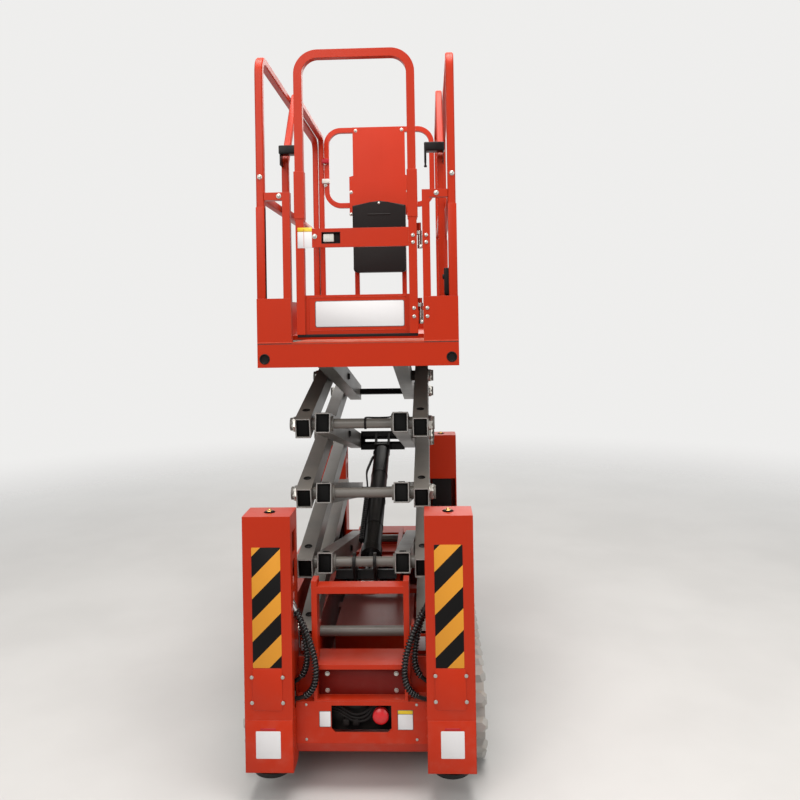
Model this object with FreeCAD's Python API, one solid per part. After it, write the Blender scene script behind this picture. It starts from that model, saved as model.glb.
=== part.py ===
import FreeCAD, Part
import math
import os

V = FreeCAD.Vector

# Millimetres. +X is right as seen from the entry end, +Y runs from the entry end to the far end, +Z is up.
# The origin is on the ground under the middle of the machine.

# Scissor
STAGES = 4
ARM_LENGTH = 1125.0
STAGE_RISE = 235.4
ARM_WIDTH = 52.0
ARM_HEIGHT = 68.0
ARM_WALL = 4.0
ARM_OVERHANG = 45.0
INNER_ARM_X = 130.5
ARM_SIDE_GAP = 15.0
PIVOT_SETBACK = 200.0
BASE_PIVOT_Z = 432.0
LOW_ANGLE = 5.2
HIGH_ANGLE = 50.0

# Pivot pins
PIN_R = 15.0
BOSS_R = 22.0
PIN_FIT = 0.05
OPEN_FIT = 1.0
SPACER_R = 21.0
SIDE_FIT = 0.3
NUT_R = 22.0
NUT_THICK = 22.0
CROSS_TUBE_R = 17.0
BASE_TUBE_R = 17.0
FLANGE_R = 26.0
FLANGE_THICK = 7.0
FAR_BAR = 26.0
FAR_BAR_SPREAD = 31.0

# Lift cylinder
LIFT_LOWER_FROM_FAR = 975.0
LIFT_LOWER_DROP = 95.0
LIFT_UPPER_FROM_FAR = 60.0
LIFT_UPPER_DROP = 45.0
LIFT_PIN_R = 18.0
LIFT_EYE_R = 32.0
LIFT_EYE_HALF = 24.0
BARREL_R = 35.0
BARREL_BORE_R = 27.0
BARREL_SHARE = 0.711
BARREL_START = 24.0
GLAND_R = 40.0
GLAND_LENGTH = 40.0
ROD_R = 20.0
ROD_SHARE = 0.64
PISTON_THICK = 30.0
PISTON_FIT = 0.2
LUG_PLATE = 10.0
LUG_GAP = 6.0
LUG_ROUND = 30.0
PIN_SHOW = 1.0
MOUNT_BAR = 30.0
MOUNT_BAR_STATION = 75.0

# Chassis
CHASSIS_HALF_WIDTH = 207.0
CHASSIS_HALF_LENGTH = 800.0
CHASSIS_FLOOR_Z = 95.0
CHASSIS_DECK_Z = 350.0
DECK_EDGE_SETBACK = 240.0
PLATE = 5.0
SHELF_Z = 408.0
SHELF_HALF_WIDTH = 148.0
SHELF_DEPTH = 120.0
LEDGE_Z = 293.0
WING_SETBACK = 55.0
POCKET_HALF_WIDTH = 138.0
POCKET_DEPTH = 35.0
POCKET_BOTTOM_Z = 298.0
POCKET_TOP_Z = 393.0
PANEL_BOTTOM_Z = 161.0
PANEL_BEVEL_Z = 122.0
PANEL_BEVEL_DEPTH = 25.0
SLOT_HALF_WIDTH = 94.5
SLOT_BOTTOM_Z = 195.0
SLOT_TOP_Z = 280.0
SLOT_CORNER = 12.0
BUTTON_R = 25.0
BUTTON_X = 60.0
BUTTON_Z = 240.0
BRACKET_DEPTH = 44.0
CROSS_BEAM_SHARE = 0.4
CROSS_BEAM_SIZE = 60.0
CROSS_BEAM_Z = 150.0
GUIDE_X = 70.0
GUIDE_THICK = 20.0
GUIDE_END = 20.0
MOTOR_R = 55.0
BATTERY_TOP_Z = 300.0
BATTERY_HALF_WIDTH = 150.0
BATTERY_SHARE = 0.3
TANK_WIDTH = 170.0
TANK_START_SHARE = 0.465
TANK_HEIGHT = 185.0
MOTOR_LENGTH = 200.0
PIVOT_LUG_HALF = 30.0
GUIDE_HALF_HEIGHT = 34.0
GUIDE_FOOT_DROP = 95.0
GUIDE_SADDLE = 40.0
BUTTON_STEM_R = 11.0

# Tracks
TRACK_OUTER_X = 403.0
TRACK_WIDTH = 153.0
TRACK_HEIGHT = 316.0
TRACK_SETBACK = 88.0
TRACK_BELT = 14.0
BELT_INSET = 8.0
LUG_HEIGHT = 20.0
LUG_BASE = 50.0
LUG_CREST = 30.0
LUG_SPAN = 86.0
LUG_CORNER = 12.0
LUG_PITCH = 77.0
WHEEL_FIT = 0.4
ROLLER_R = 42.0
ROLLER_COUNT = 5
ROLLER_PITCH_SHARE = 0.343
HUB_R = 45.0
BEAM_HALF_HEIGHT = 42.0
BEAM_ARM = 60.0
BEAM_ARM_HALF = 25.0
TRACK_WHEEL_WIDTH = 60.0
TRACK_BEAM_WIDTH = 74.0

# Outriggers
LEG_WIDTH = 150.0
LEG_DEPTH = 118.0
LEG_OVERHANG = 55.0
LEG_BOTTOM_Z = 96.0
LEG_TOP_Z = 888.0
LEG_WALL = 5.0
LEG_BACK_Z = 667.0
LEG_CHAMFER = 40.0
LEG_WINDOWS = ((275.0, 370.0), (560.0, 640.0), (660.0, 740.0), (760.0, 830.0))
LEG_WINDOW_DEPTH = 50.0
FOOT_R = 59.0
FOOT_THICK = 12.0
FOOT_Z = 79.0
FOOT_COLUMN_TOP = 560.0
JACK_PAD = 40.0
JACK_PAD_RISE = 90.0
FOOT_NECK = 40.0
FOOT_NECK_R = 24.0
JACK_SIZE = 96.0
JACK_WALL = 6.0
FOOT_FIT = 0.3
JACK_BOTTOM_Z = 130.0
LEG_CAP_R = 18.5

# Side cabinets
CABINET_INNER_X = 252.0
CABINET_OUTER_X = 352.0
CABINET_SETBACK = 75.0
CABINET_BOTTOM_Z = 335.0
CABINET_TOP_Z = 520.0
CABINET_CHAMFER = 30.0

# Entry step
STEP_HALF_WIDTH = 155.0
STEP_TOP_Z = 666.0
STEP_POST = 18.0
STEP_SETBACK = 10.0
STEP_DEPTH = 53.0
STEP_TREAD_TOP_Z = 648.0
STEP_TREAD_BOTTOM_Z = 626.0
SCREEN_BOTTOM_Z = 500.0
SCREEN_THICK = 4.0

# Platform
DECK_HALF_WIDTH = 327.5
DECK_SETBACK = 70.0
DECK_OVERHANG = 171.0
DECK_Z = 1420.0
DECK_PLATE = 4.0
JOIST_OFFSET = 60.0
JOIST_WIDTH = 20.0
JOIST_HEIGHT = 16.0
JOIST_NEAR_Y = -360.0
JOIST_MIDDLE_Y = 20.0
JOIST_FAR_Y = 300.0
CHANNEL_SHEET = 4.0
CHANNEL_HEIGHT = 80.0
CHANNEL_WIDTH = 30.0
PLUG_R = 14.5
PLUG_X = 304.0
PLUG_Z = 1368.0
TOE_TOP_Z = 1565.0
TOE_PLATE = 3.0
POST = 26.0
RAIL_TOP_Z = 2348.0
MID_RAIL_Z = 1898.0
MID_RAIL = 24.0
RAIL_BEND = 60.0
SLEEVE_TOP_Z = 1864.0
SLEEVE_WALL = 2.0
GATE_OPENING_HALF = 215.0
FRAME_TUBE = 25.0

# Gate
GATE_HALF_WIDTH = 197.0
GATE_TUBE = 27.0
GATE_TOP_Z = 2372.0
GATE_BOTTOM_Z = 1446.0
GATE_BEND = 65.0
GATE_MID_Z = 1759.5
GATE_MID_HEIGHT = 61.0
GATE_MID_DEPTH = 16.0
KICK_TOP_Z = 1574.0
GATE_SLEEVE = (1816.0, 1975.0)
LATCH_LEFT_X = -112.0
LATCH_RIGHT_X = -52.0
LATCH_HALF_HEIGHT = 18.0
HINGE_X = 206.0
HINGE_R = 5.0
HINGE_SETBACK = 26.0
HINGE_LENGTH = 80.0
HINGE_LEVELS = (1480.0, 1725.0)

# Extension deck
EXT_SETBACK = 300.0
EXT_HALF_WIDTH = 293.0
EXT_PLATE = 16.0
EXT_FIT = 0.3
EXT_POST = 25.0
EXT_MID_Z = 1888.0
EXT_MID = 20.0
EXT_TOE = 110.0
HANDLE_PLATE = 3.0
HANDLE_WIDTH = 68.0
HANDLE_DEPTH = 45.0
HANDLE_LEG = 62.0
HANDLE_TOP_Z = 2110.0
EXT_TOP_Z = 2315.0
EXT_KNEE_Z = 2070.0
EXT_SLOPE = 230.0
EXT_BEND = 40.0
FAR_TUBE = 24.0
FAR_POST = 22.0
FAR_POST_X = 115.0
FAR_BEND = 70.0
FAR_LOOP_BOTTOM_Z = 2030.0
FAR_LOOP_TOP_Z = 2420.0
FAR_PLATE_LOW = (146.0, 1990.0, 2180.0)
FAR_PLATE_HIGH = (127.0, 2185.0, 2420.0)
BOX_HALF_WIDTH = 127.0
BOX_BOTTOM_Z = 1710.0
BOX_SIDE_Z = 2030.0
BOX_PEAK_Z = 2052.0
BOX_DEPTH = 70.0

# Leg hoses: the route of each on the right, as X, distance before the chassis end, and Z
HOSE_R = 6.5
HOSE_FITTING_R = 9.0
HOSE_FITTING = 40.0
HOSE_BEND_SHARE = 0.45
HOSES = {
    "outer": [(222, 5, 612), (184, 12, 552), (150, 24, 474), (136, 28, 404), (143, 26, 348),
              (178, 14, 307), (228, 5, 298)],
    "inner": [(222, -14, 614), (192, -10, 552), (171, 0, 462), (169, 2, 410), (187, -3, 364),
              (228, -14, 336)],
}

BASE_PIVOT_Y = PIVOT_SETBACK - CHASSIS_HALF_LENGTH
BARREL_LENGTH = BARREL_SHARE * ARM_LENGTH
ROD_LENGTH = ROD_SHARE * ARM_LENGTH
DECK_EDGE_Y = CHASSIS_HALF_LENGTH - DECK_EDGE_SETBACK
WING_Y = CHASSIS_HALF_LENGTH - WING_SETBACK
CROSS_BEAM_Y = CROSS_BEAM_SHARE * CHASSIS_HALF_LENGTH
TRACK_HALF_LENGTH = CHASSIS_HALF_LENGTH - TRACK_SETBACK
LEG_HALF_LENGTH = CHASSIS_HALF_LENGTH + LEG_OVERHANG
CABINET_HALF_LENGTH = CHASSIS_HALF_LENGTH - CABINET_SETBACK
STEP_NEAR_Y = STEP_SETBACK - CHASSIS_HALF_LENGTH
DECK_NEAR_Y = DECK_SETBACK - CHASSIS_HALF_LENGTH
DECK_LENGTH = ARM_LENGTH + DECK_OVERHANG
EXT_NEAR_Y = DECK_NEAR_Y + EXT_SETBACK
HINGE_Y = DECK_NEAR_Y + HINGE_SETBACK
OUTER_ARM_X = INNER_ARM_X + ARM_WIDTH + ARM_SIDE_GAP
LEG_INNER_X = CHASSIS_HALF_WIDTH
STAGE_RUN = math.sqrt(ARM_LENGTH ** 2 - STAGE_RISE ** 2)
ARM_ANGLE = math.degrees(math.asin(STAGE_RISE / ARM_LENGTH))
INNER_FACE_X = INNER_ARM_X - ARM_WIDTH / 2
OUTER_FACE_X = OUTER_ARM_X + ARM_WIDTH / 2
ARM_LUG_X = OUTER_ARM_X - ARM_WIDTH / 2 - LUG_GAP
TRACK_CENTRE_X = TRACK_OUTER_X - TRACK_WIDTH / 2
TRACK_MIDDLE_Z = TRACK_HEIGHT / 2
TRACK_STRAIGHT = TRACK_HALF_LENGTH - TRACK_MIDDLE_Z
ROLLER_PITCH = ROLLER_PITCH_SHARE * TRACK_STRAIGHT
DECK_FAR_Y = DECK_NEAR_Y + DECK_LENGTH
EXT_BASE_Z = DECK_Z + EXT_FIT + EXT_PLATE
AXIS_X = V(1, 0, 0)
AXIS_Y = V(0, 1, 0)
AXIS_Z = V(0, 0, 1)
SIDES = {"left": -1, "right": 1}
ENDS = {"near": -1, "far": 1}


def block(x0, x1, y0, y1, z0, z1):
    """A box between two corners given in any order."""
    lo = [min(pair) for pair in ((x0, x1), (y0, y1), (z0, z1))]
    hi = [max(pair) for pair in ((x0, x1), (y0, y1), (z0, z1))]
    return Part.makeBox(hi[0] - lo[0], hi[1] - lo[1], hi[2] - lo[2], V(*lo))


def rod_x(x0, x1, y, z, radius):
    """A round bar along X."""
    return Part.makeCylinder(radius, abs(x1 - x0), V(min(x0, x1), y, z), AXIS_X)


def rod_z(x, y, z0, z1, radius):
    """A round bar along Z."""
    return Part.makeCylinder(radius, abs(z1 - z0), V(x, y, min(z0, z1)), AXIS_Z)


def join(shapes):
    """One solid from pieces that meet."""
    shapes = list(shapes)
    if len(shapes) == 1:
        return shapes[0]
    return shapes[0].multiFuse(shapes[1:]).removeSplitter()


def mirror_x(shape):
    """The same shape on the other side of the machine."""
    return shape.mirror(V(0, 0, 0), AXIS_X)


def mirror_y(shape):
    """The same shape at the other end of the machine."""
    return shape.mirror(V(0, 0, 0), AXIS_Y)


def both_sides(shape):
    """The shape and its mirror image, as separate solids."""
    return Part.makeCompound([shape, mirror_x(shape)])


def turn_and_place(shape, y, z, degrees):
    """Turn a shape built along +Y about the X axis, then carry its origin to a point."""
    placed = shape.copy()
    placed.rotate(V(0, 0, 0), AXIS_X, degrees)
    placed.translate(V(0, y, z))
    return placed


def profile_x(points, x0, x1):
    """A plate of constant outline in the YZ plane, from x0 to x1."""
    ring = [V(x0, y, z) for y, z in points]
    face = Part.Face(Part.makePolygon(ring + [ring[0]]))
    return face.extrude(V(x1 - x0, 0, 0))


def square_tube(points, size, bend, normal):
    """A square bar along straight runs in one plane, joined by round bends or square corners."""
    stops = [V(*point) for point in points]
    runs = []
    bends = []
    starts = [0.0] * len(stops)
    for index in range(1, len(stops) - 1):
        incoming = (stops[index] - stops[index - 1]).normalize()
        outgoing = (stops[index + 1] - stops[index]).normalize()
        turn = incoming.getAngle(outgoing)
        starts[index] = bend * math.tan(turn / 2)
        if bend > 0:
            axis = incoming.cross(outgoing).normalize()
            tangent = stops[index] - incoming * starts[index]
            centre = tangent + axis.cross(incoming) * bend
            face = square_face(tangent, incoming, normal, size)
            bends.append(face.revolve(centre, axis, math.degrees(turn)))
    for index in range(len(stops) - 1):
        along = (stops[index + 1] - stops[index]).normalize()
        first = stops[index] + along * starts[index]
        last = stops[index + 1] - along * starts[index + 1]
        if bend == 0 and index > 0:
            first = first - along * (size / 2)
        if bend == 0 and index < len(stops) - 2:
            last = last + along * (size / 2)
        face = square_face(first, along, normal, size)
        runs.append(face.extrude(last - first))
    return join(runs + bends)


def square_face(centre, along, normal, size):
    """A square across a bar at one point of its line."""
    side = along.cross(normal).normalize() * (size / 2)
    lift = V(normal).normalize() * (size / 2)
    corners = [centre + side + lift, centre - side + lift, centre - side - lift, centre + side - lift]
    return Part.Face(Part.makePolygon(corners + [corners[0]]))


def near_pivot(level):
    """Place of the near pivots at a level, 0 being the lowest."""
    return BASE_PIVOT_Y, BASE_PIVOT_Z + level * STAGE_RISE


def far_pivot(level):
    """Place of the far pivots at a level, 0 being the lowest."""
    return BASE_PIVOT_Y + STAGE_RUN, BASE_PIVOT_Z + level * STAGE_RISE


def arm_body(x_centre, bores, round_near=False, round_far=False):
    """A hollow rectangular arm along +Y with bosses and bores, its ends square or round."""
    half = ARM_WIDTH / 2
    tall = ARM_HEIGHT / 2
    y0 = 0.0 if round_near else -ARM_OVERHANG
    y1 = ARM_LENGTH if round_far else ARM_LENGTH + ARM_OVERHANG
    arm = block(x_centre - half, x_centre + half, y0, y1, -tall, tall)
    for station, is_round in ((y0, round_near), (y1, round_far)):
        if is_round:
            arm = arm.fuse(rod_x(x_centre - half, x_centre + half, station, 0, tall))
    inside_half = half - ARM_WALL
    inside_tall = tall - ARM_WALL
    arm = arm.cut(block(x_centre - inside_half, x_centre + inside_half, y0, y1, -inside_tall, inside_tall))
    for station, bore in bores:
        arm = arm.fuse(rod_x(x_centre - half, x_centre + half, station, 0, BOSS_R))
        if bore:
            arm = arm.cut(rod_x(x_centre - half - 1, x_centre + half + 1, station, 0, bore))
    return arm


def outward_pin(station, start_x, arm_face_x, end_x):
    """A pin that leaves an arm outward through its neighbour, with a spacer before it and a nut after."""
    pin = rod_x(start_x, end_x + NUT_THICK, station, 0, PIN_R)
    spacer = rod_x(start_x, arm_face_x - SIDE_FIT, station, 0, SPACER_R)
    nut = rod_x(end_x + SIDE_FIT, end_x + NUT_THICK, station, 0, NUT_R)
    return join([pin, spacer, nut])


def outer_arms(stage):
    """The two outer arms of a stage, from the near pivot up to the far pivot."""
    near_y, near_z = near_pivot(stage - 1)
    bore = PIN_R + PIN_FIT
    if stage < STAGES:
        fits = [(0.0, bore), (ARM_LENGTH / 2, bore), (ARM_LENGTH, PIN_R + OPEN_FIT)]
        arm = arm_body(OUTER_ARM_X, fits)
        return turn_and_place(both_sides(arm), near_y, near_z, ARM_ANGLE)
    arm = arm_body(OUTER_ARM_X, [(0.0, bore), (ARM_LENGTH / 2, bore), (ARM_LENGTH, 0.0)], round_far=True)
    half_gap = OUTER_ARM_X - ARM_WIDTH / 2
    tube = rod_x(-half_gap, half_gap, ARM_LENGTH, 0, CROSS_TUBE_R)
    return turn_and_place(join([arm, mirror_x(arm), tube]), near_y, near_z, ARM_ANGLE)


def inner_arms(stage):
    """The two inner arms of a stage, from the near pivot down to the far one."""
    stations = [0.0, ARM_LENGTH / 2, ARM_LENGTH]
    is_top = stage == STAGES
    arm = arm_body(INNER_ARM_X, [(station, 0.0) for station in stations], round_near=is_top)
    arm_outer = INNER_ARM_X + ARM_WIDTH / 2
    next_inner = OUTER_ARM_X - ARM_WIDTH / 2
    pieces = [arm, mirror_x(arm)]
    for station in stations[:2] if stage == 1 else stations:
        if is_top and station == 0.0:
            pin = top_pin(arm_outer)
        else:
            pin = outward_pin(station, arm_outer, next_inner, OUTER_FACE_X)
        pieces += [pin, mirror_x(pin)]
    pieces.append(rod_x(-INNER_FACE_X, INNER_FACE_X, 0, 0, CROSS_TUBE_R))
    flange = rod_x(INNER_FACE_X - FLANGE_THICK, INNER_FACE_X, 0, 0, FLANGE_R)
    pieces += [flange, mirror_x(flange)]
    if stage == 1:
        pieces.append(rod_x(-INNER_FACE_X, INNER_FACE_X, ARM_LENGTH, 0, CROSS_TUBE_R))
    near_y, near_z = near_pivot(stage)
    return turn_and_place(join(pieces), near_y, near_z, -ARM_ANGLE)


def cross_bars(stage):
    """The black bars between a stage's inner arms, with the lugs that hold the lift cylinder."""
    half = FAR_BAR / 2
    if stage == 1:
        shape = lift_lower_mount()
    elif stage == 3:
        shape = lift_upper_mount()
    else:
        shape = block(-INNER_FACE_X, INNER_FACE_X, ARM_LENGTH - half, ARM_LENGTH + half, -half, half)
    near_y, near_z = near_pivot(stage)
    return turn_and_place(shape, near_y, near_z, -ARM_ANGLE)


def top_pin(arm_outer):
    """The pin of the top near pivot, held in the platform's lug."""
    lug_face = arm_outer + LUG_GAP
    pin = rod_x(arm_outer, lug_face + LUG_PLATE + NUT_THICK, 0, 0, PIN_R)
    spacer = rod_x(arm_outer, lug_face - SIDE_FIT, 0, 0, SPACER_R)
    nut = rod_x(lug_face + LUG_PLATE + SIDE_FIT, lug_face + LUG_PLATE + NUT_THICK, 0, 0, NUT_R)
    return join([pin, spacer, nut])


def lug_outline(stations):
    """An outline round circles given as (station, height, radius), as the hull of the first and last."""
    (y0, z0, r0), (y1, z1, r1) = stations
    run = math.hypot(y1 - y0, z1 - z0)
    along = math.atan2(z1 - z0, y1 - y0)
    lean = math.acos((r0 - r1) / run)
    points = []
    for way, (y, z, r) in ((1, (y0, z0, r0)), (1, (y1, z1, r1)), (-1, (y1, z1, r1)), (-1, (y0, z0, r0))):
        points.append((y + r * math.cos(along + way * lean), z + r * math.sin(along + way * lean)))
    return points


def lug_plate(stations, x0, x1):
    """A plate whose two ends are round and whose sides are tangent to them."""
    pieces = [profile_x(lug_outline(stations), x0, x1)]
    for y, z, radius in stations:
        pieces.append(rod_x(x0, x1, y, z, radius))
    return join(pieces)


def lift_lower_mount():
    """Two lugs hung from the near tube and a bar, with open room between them for the rod's eye."""
    station = ARM_LENGTH - LIFT_LOWER_FROM_FAR
    lug_x = LIFT_EYE_HALF + LUG_GAP
    lug = lug_plate([(0, 0, LUG_ROUND), (station, -LIFT_LOWER_DROP, LUG_ROUND)], lug_x, lug_x + LUG_PLATE)
    lug = lug.cut(rod_x(lug_x - 1, lug_x + LUG_PLATE + 1, 0, 0, CROSS_TUBE_R))
    lug = lug.cut(rod_x(lug_x - 1, lug_x + LUG_PLATE + 1, station, -LIFT_LOWER_DROP, LIFT_PIN_R + OPEN_FIT))
    half = MOUNT_BAR / 2
    low = -LIFT_LOWER_DROP * MOUNT_BAR_STATION / station
    bar = block(-INNER_FACE_X, INNER_FACE_X, MOUNT_BAR_STATION - half, MOUNT_BAR_STATION + half,
                low - half, low + half)
    return join([bar, lug, mirror_x(lug)])


def lift_upper_mount():
    """Two bars between the third inner arms' far ends, with lugs and a pin for the barrel's eye."""
    station = ARM_LENGTH - LIFT_UPPER_FROM_FAR
    half = FAR_BAR / 2
    lug_x = LIFT_EYE_HALF + OPEN_FIT
    pieces = []
    for way in (-1, 1):
        centre = way * FAR_BAR_SPREAD
        pieces.append(block(-INNER_FACE_X, INNER_FACE_X, ARM_LENGTH - half, ARM_LENGTH + half,
                            centre - half, centre + half))
    for way in (-1, 1):
        stations = [(station, -LIFT_UPPER_DROP, LUG_ROUND), (ARM_LENGTH, way * FAR_BAR_SPREAD, half)]
        lug = lug_plate(stations, lug_x, lug_x + LUG_PLATE)
        pieces += [lug, mirror_x(lug)]
    pin_end = lug_x + LUG_PLATE
    pieces.append(rod_x(-pin_end, pin_end, station, -LIFT_UPPER_DROP, LIFT_PIN_R))
    return join(pieces)


def lift_points():
    """Places of the lift cylinder's lower and upper eyes at rest."""
    slope = math.radians(ARM_ANGLE)
    eyes = []
    lower = (0, LIFT_LOWER_FROM_FAR, LIFT_LOWER_DROP)
    upper = (2, LIFT_UPPER_FROM_FAR, LIFT_UPPER_DROP)
    for level, back, drop in (lower, upper):
        far_y, far_z = far_pivot(level)
        y = far_y - back * math.cos(slope) - drop * math.sin(slope)
        z = far_z + back * math.sin(slope) - drop * math.cos(slope)
        eyes.append((y, z))
    return eyes


def lift_slope():
    """Slope, in degrees, of the line between the cylinder's eyes."""
    (y0, z0), (y1, z1) = lift_points()
    return math.degrees(math.atan2(z1 - z0, y1 - y0))


def barrel():
    """The cylinder's barrel, its eye and its gland, built along +Y down from the upper pin."""
    slope = lift_slope()
    _, (y1, z1) = lift_points()
    tube = Part.makeCylinder(BARREL_R, BARREL_LENGTH - BARREL_START, V(0, BARREL_START, 0), AXIS_Y)
    gland = Part.makeCylinder(GLAND_R, GLAND_LENGTH, V(0, BARREL_LENGTH - GLAND_LENGTH, 0), AXIS_Y)
    eye = rod_x(-LIFT_EYE_HALF, LIFT_EYE_HALF, 0, 0, LIFT_EYE_R)
    body = join([tube, gland, eye])
    for side in SIDES.values():
        x0 = side * LIFT_EYE_HALF
        body = body.cut(block(x0, x0 + side * LIFT_EYE_R, -LIFT_EYE_R - 1, LIFT_EYE_R + LUG_GAP,
                              -LIFT_EYE_R * 2, LIFT_EYE_R * 2))
    bore_start = LIFT_EYE_R + LUG_GAP * 2
    bore_end = BARREL_LENGTH - GLAND_LENGTH
    body = body.cut(Part.makeCylinder(BARREL_BORE_R, bore_end - bore_start, V(0, bore_start, 0), AXIS_Y))
    body = body.cut(Part.makeCylinder(ROD_R + PISTON_FIT, GLAND_LENGTH + 2, V(0, bore_end - 1, 0), AXIS_Y))
    body = body.cut(rod_x(-LIFT_EYE_HALF - 1, LIFT_EYE_HALF + 1, 0, 0, LIFT_PIN_R + PIN_FIT))
    return turn_and_place(body, y1, z1, slope + 180)


def piston_rod():
    """The cylinder's rod with its piston, and the eye at its lower end."""
    slope = lift_slope()
    (y0, z0), _ = lift_points()
    shaft = Part.makeCylinder(ROD_R, ROD_LENGTH, V(0, 0, 0), AXIS_Y)
    start = V(0, ROD_LENGTH - PISTON_THICK, 0)
    piston = Part.makeCylinder(BARREL_BORE_R - PISTON_FIT, PISTON_THICK, start, AXIS_Y)
    eye = rod_x(-LIFT_EYE_HALF, LIFT_EYE_HALF, 0, 0, LIFT_EYE_R)
    pin = rod_x(-LIFT_EYE_HALF - PIN_SHOW, LIFT_EYE_HALF + PIN_SHOW, 0, 0, LIFT_PIN_R)
    return turn_and_place(join([shaft, piston, eye, pin]), y0, z0, slope)


def base_pivot_bar():
    """The tube across the chassis that carries the lowest near pivots."""
    near_y, near_z = near_pivot(0)
    tube = rod_x(LUG_PLATE - ARM_LUG_X, ARM_LUG_X - LUG_PLATE, 0, 0, BASE_TUBE_R)
    pin = rod_x(ARM_LUG_X - LUG_PLATE, OUTER_FACE_X + NUT_THICK, 0, 0, PIN_R)
    spacer = rod_x(ARM_LUG_X, OUTER_ARM_X - ARM_WIDTH / 2 - SIDE_FIT, 0, 0, SPACER_R)
    nut = rod_x(OUTER_FACE_X + SIDE_FIT, OUTER_FACE_X + NUT_THICK, 0, 0, NUT_R)
    side = join([pin, spacer, nut])
    bar = join([tube, side, mirror_x(side)])
    bar.translate(V(0, near_y, near_z))
    return bar


def chassis_end():
    """One end of the tub: ledge, wing walls, shelf box with its pocket, and the deck behind it."""
    w = CHASSIS_HALF_WIDTH
    y = -CHASSIS_HALF_LENGTH
    face = y - PLATE
    shelf_in = face + SHELF_DEPTH
    pieces = [block(-w, w, y, -WING_Y + PLATE, LEDGE_Z - PLATE, LEDGE_Z)]
    for side in SIDES.values():
        inner = side * SHELF_HALF_WIDTH
        wing_x = inner - side * PLATE
        pieces.append(block(wing_x, side * w, -WING_Y, -WING_Y + PLATE, LEDGE_Z - PLATE, SHELF_Z))
    shelf = block(-SHELF_HALF_WIDTH, SHELF_HALF_WIDTH, face, shelf_in, LEDGE_Z, SHELF_Z)
    pocket = block(-POCKET_HALF_WIDTH, POCKET_HALF_WIDTH, face - 1, face + POCKET_DEPTH,
                   POCKET_BOTTOM_Z, POCKET_TOP_Z)
    inside = SHELF_HALF_WIDTH - PLATE
    back = face + POCKET_DEPTH + PLATE
    hollow = block(-inside, inside, back, shelf_in - PLATE, LEDGE_Z - 1, SHELF_Z - PLATE)
    pieces.append(shelf.cut(pocket).cut(hollow))
    pieces.append(block(-w, w, -WING_Y, -DECK_EDGE_Y, CHASSIS_DECK_Z - PLATE, CHASSIS_DECK_Z).cut(hollow))
    lip_z = CHASSIS_DECK_Z - 4 * PLATE
    pieces.append(block(-w, w, -DECK_EDGE_Y - PLATE, -DECK_EDGE_Y, lip_z, CHASSIS_DECK_Z))
    foot_y = face + PANEL_BEVEL_DEPTH
    pieces.append(profile_x([(foot_y, PANEL_BEVEL_Z), (foot_y, PANEL_BEVEL_Z + PLATE),
                             (foot_y + 2 * PANEL_BEVEL_DEPTH, CHASSIS_FLOOR_Z + PLATE),
                             (foot_y + 2 * PANEL_BEVEL_DEPTH, CHASSIS_FLOOR_Z)], -w, w))
    return pieces


def chassis_frame():
    """The welded tub with its end boxes, track beams, pivot lugs and slotted guides."""
    w = CHASSIS_HALF_WIDTH
    lower = CHASSIS_FLOOR_Z
    ends = chassis_end()
    pieces = ends + [mirror_y(piece) for piece in ends]
    inner_x = w - PLATE
    foot = CHASSIS_HALF_LENGTH + PLATE - 3 * PANEL_BEVEL_DEPTH
    half_outline = [(foot, lower), (foot + 2 * PANEL_BEVEL_DEPTH, PANEL_BEVEL_Z + PLATE),
                    (CHASSIS_HALF_LENGTH, PANEL_BOTTOM_Z), (CHASSIS_HALF_LENGTH, LEDGE_Z), (WING_Y, LEDGE_Z),
                    (WING_Y, CHASSIS_DECK_Z)]
    side = profile_x(half_outline + [(-y, z) for y, z in reversed(half_outline)], inner_x, w)
    pieces += [side, mirror_x(side), block(-w, w, -foot, foot, lower, lower + PLATE)]
    for end in ENDS.values():
        beam_y = end * CROSS_BEAM_Y
        half = CROSS_BEAM_SIZE / 2
        beam_x = TRACK_CENTRE_X - TRACK_BEAM_WIDTH / 2
        pieces.append(block(-beam_x, beam_x, beam_y - half, beam_y + half,
                            CROSS_BEAM_Z - half, CROSS_BEAM_Z + half))
    near_y, near_z = near_pivot(0)
    half = PIVOT_LUG_HALF
    outline = [(near_y - half, CHASSIS_DECK_Z - PLATE), (-DECK_EDGE_Y, CHASSIS_DECK_Z - PLATE),
               (near_y + half, near_z + half), (near_y - half, near_z + half)]
    lug = profile_x(outline, ARM_LUG_X - LUG_PLATE, ARM_LUG_X)
    lug = lug.cut(rod_x(ARM_LUG_X - LUG_PLATE - 1, ARM_LUG_X + 1, near_y, near_z, PIN_R))
    pieces += [lug, mirror_x(lug)]
    guide_foot = BASE_PIVOT_Z - GUIDE_FOOT_DROP
    guide = slotted_guide(BASE_PIVOT_Z, guide_foot, BASE_PIVOT_Z + GUIDE_HALF_HEIGHT)
    pieces += [guide, mirror_x(guide)]
    first, last = guide_range()
    for y in (first + GUIDE_END, last - GUIDE_END):
        half = GUIDE_SADDLE / 2
        pieces.append(block(-w, w, y - half, y + half, guide_foot - half, guide_foot))
    return join(pieces)


def guide_range():
    """Near and far ends of a slotted guide, past the cross tube's travel."""
    reach = CROSS_TUBE_R + LUG_GAP + GUIDE_END
    first = BASE_PIVOT_Y + ARM_LENGTH * math.cos(math.radians(HIGH_ANGLE)) - reach
    last = BASE_PIVOT_Y + ARM_LENGTH * math.cos(math.radians(LOW_ANGLE)) + reach
    return first, last


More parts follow.
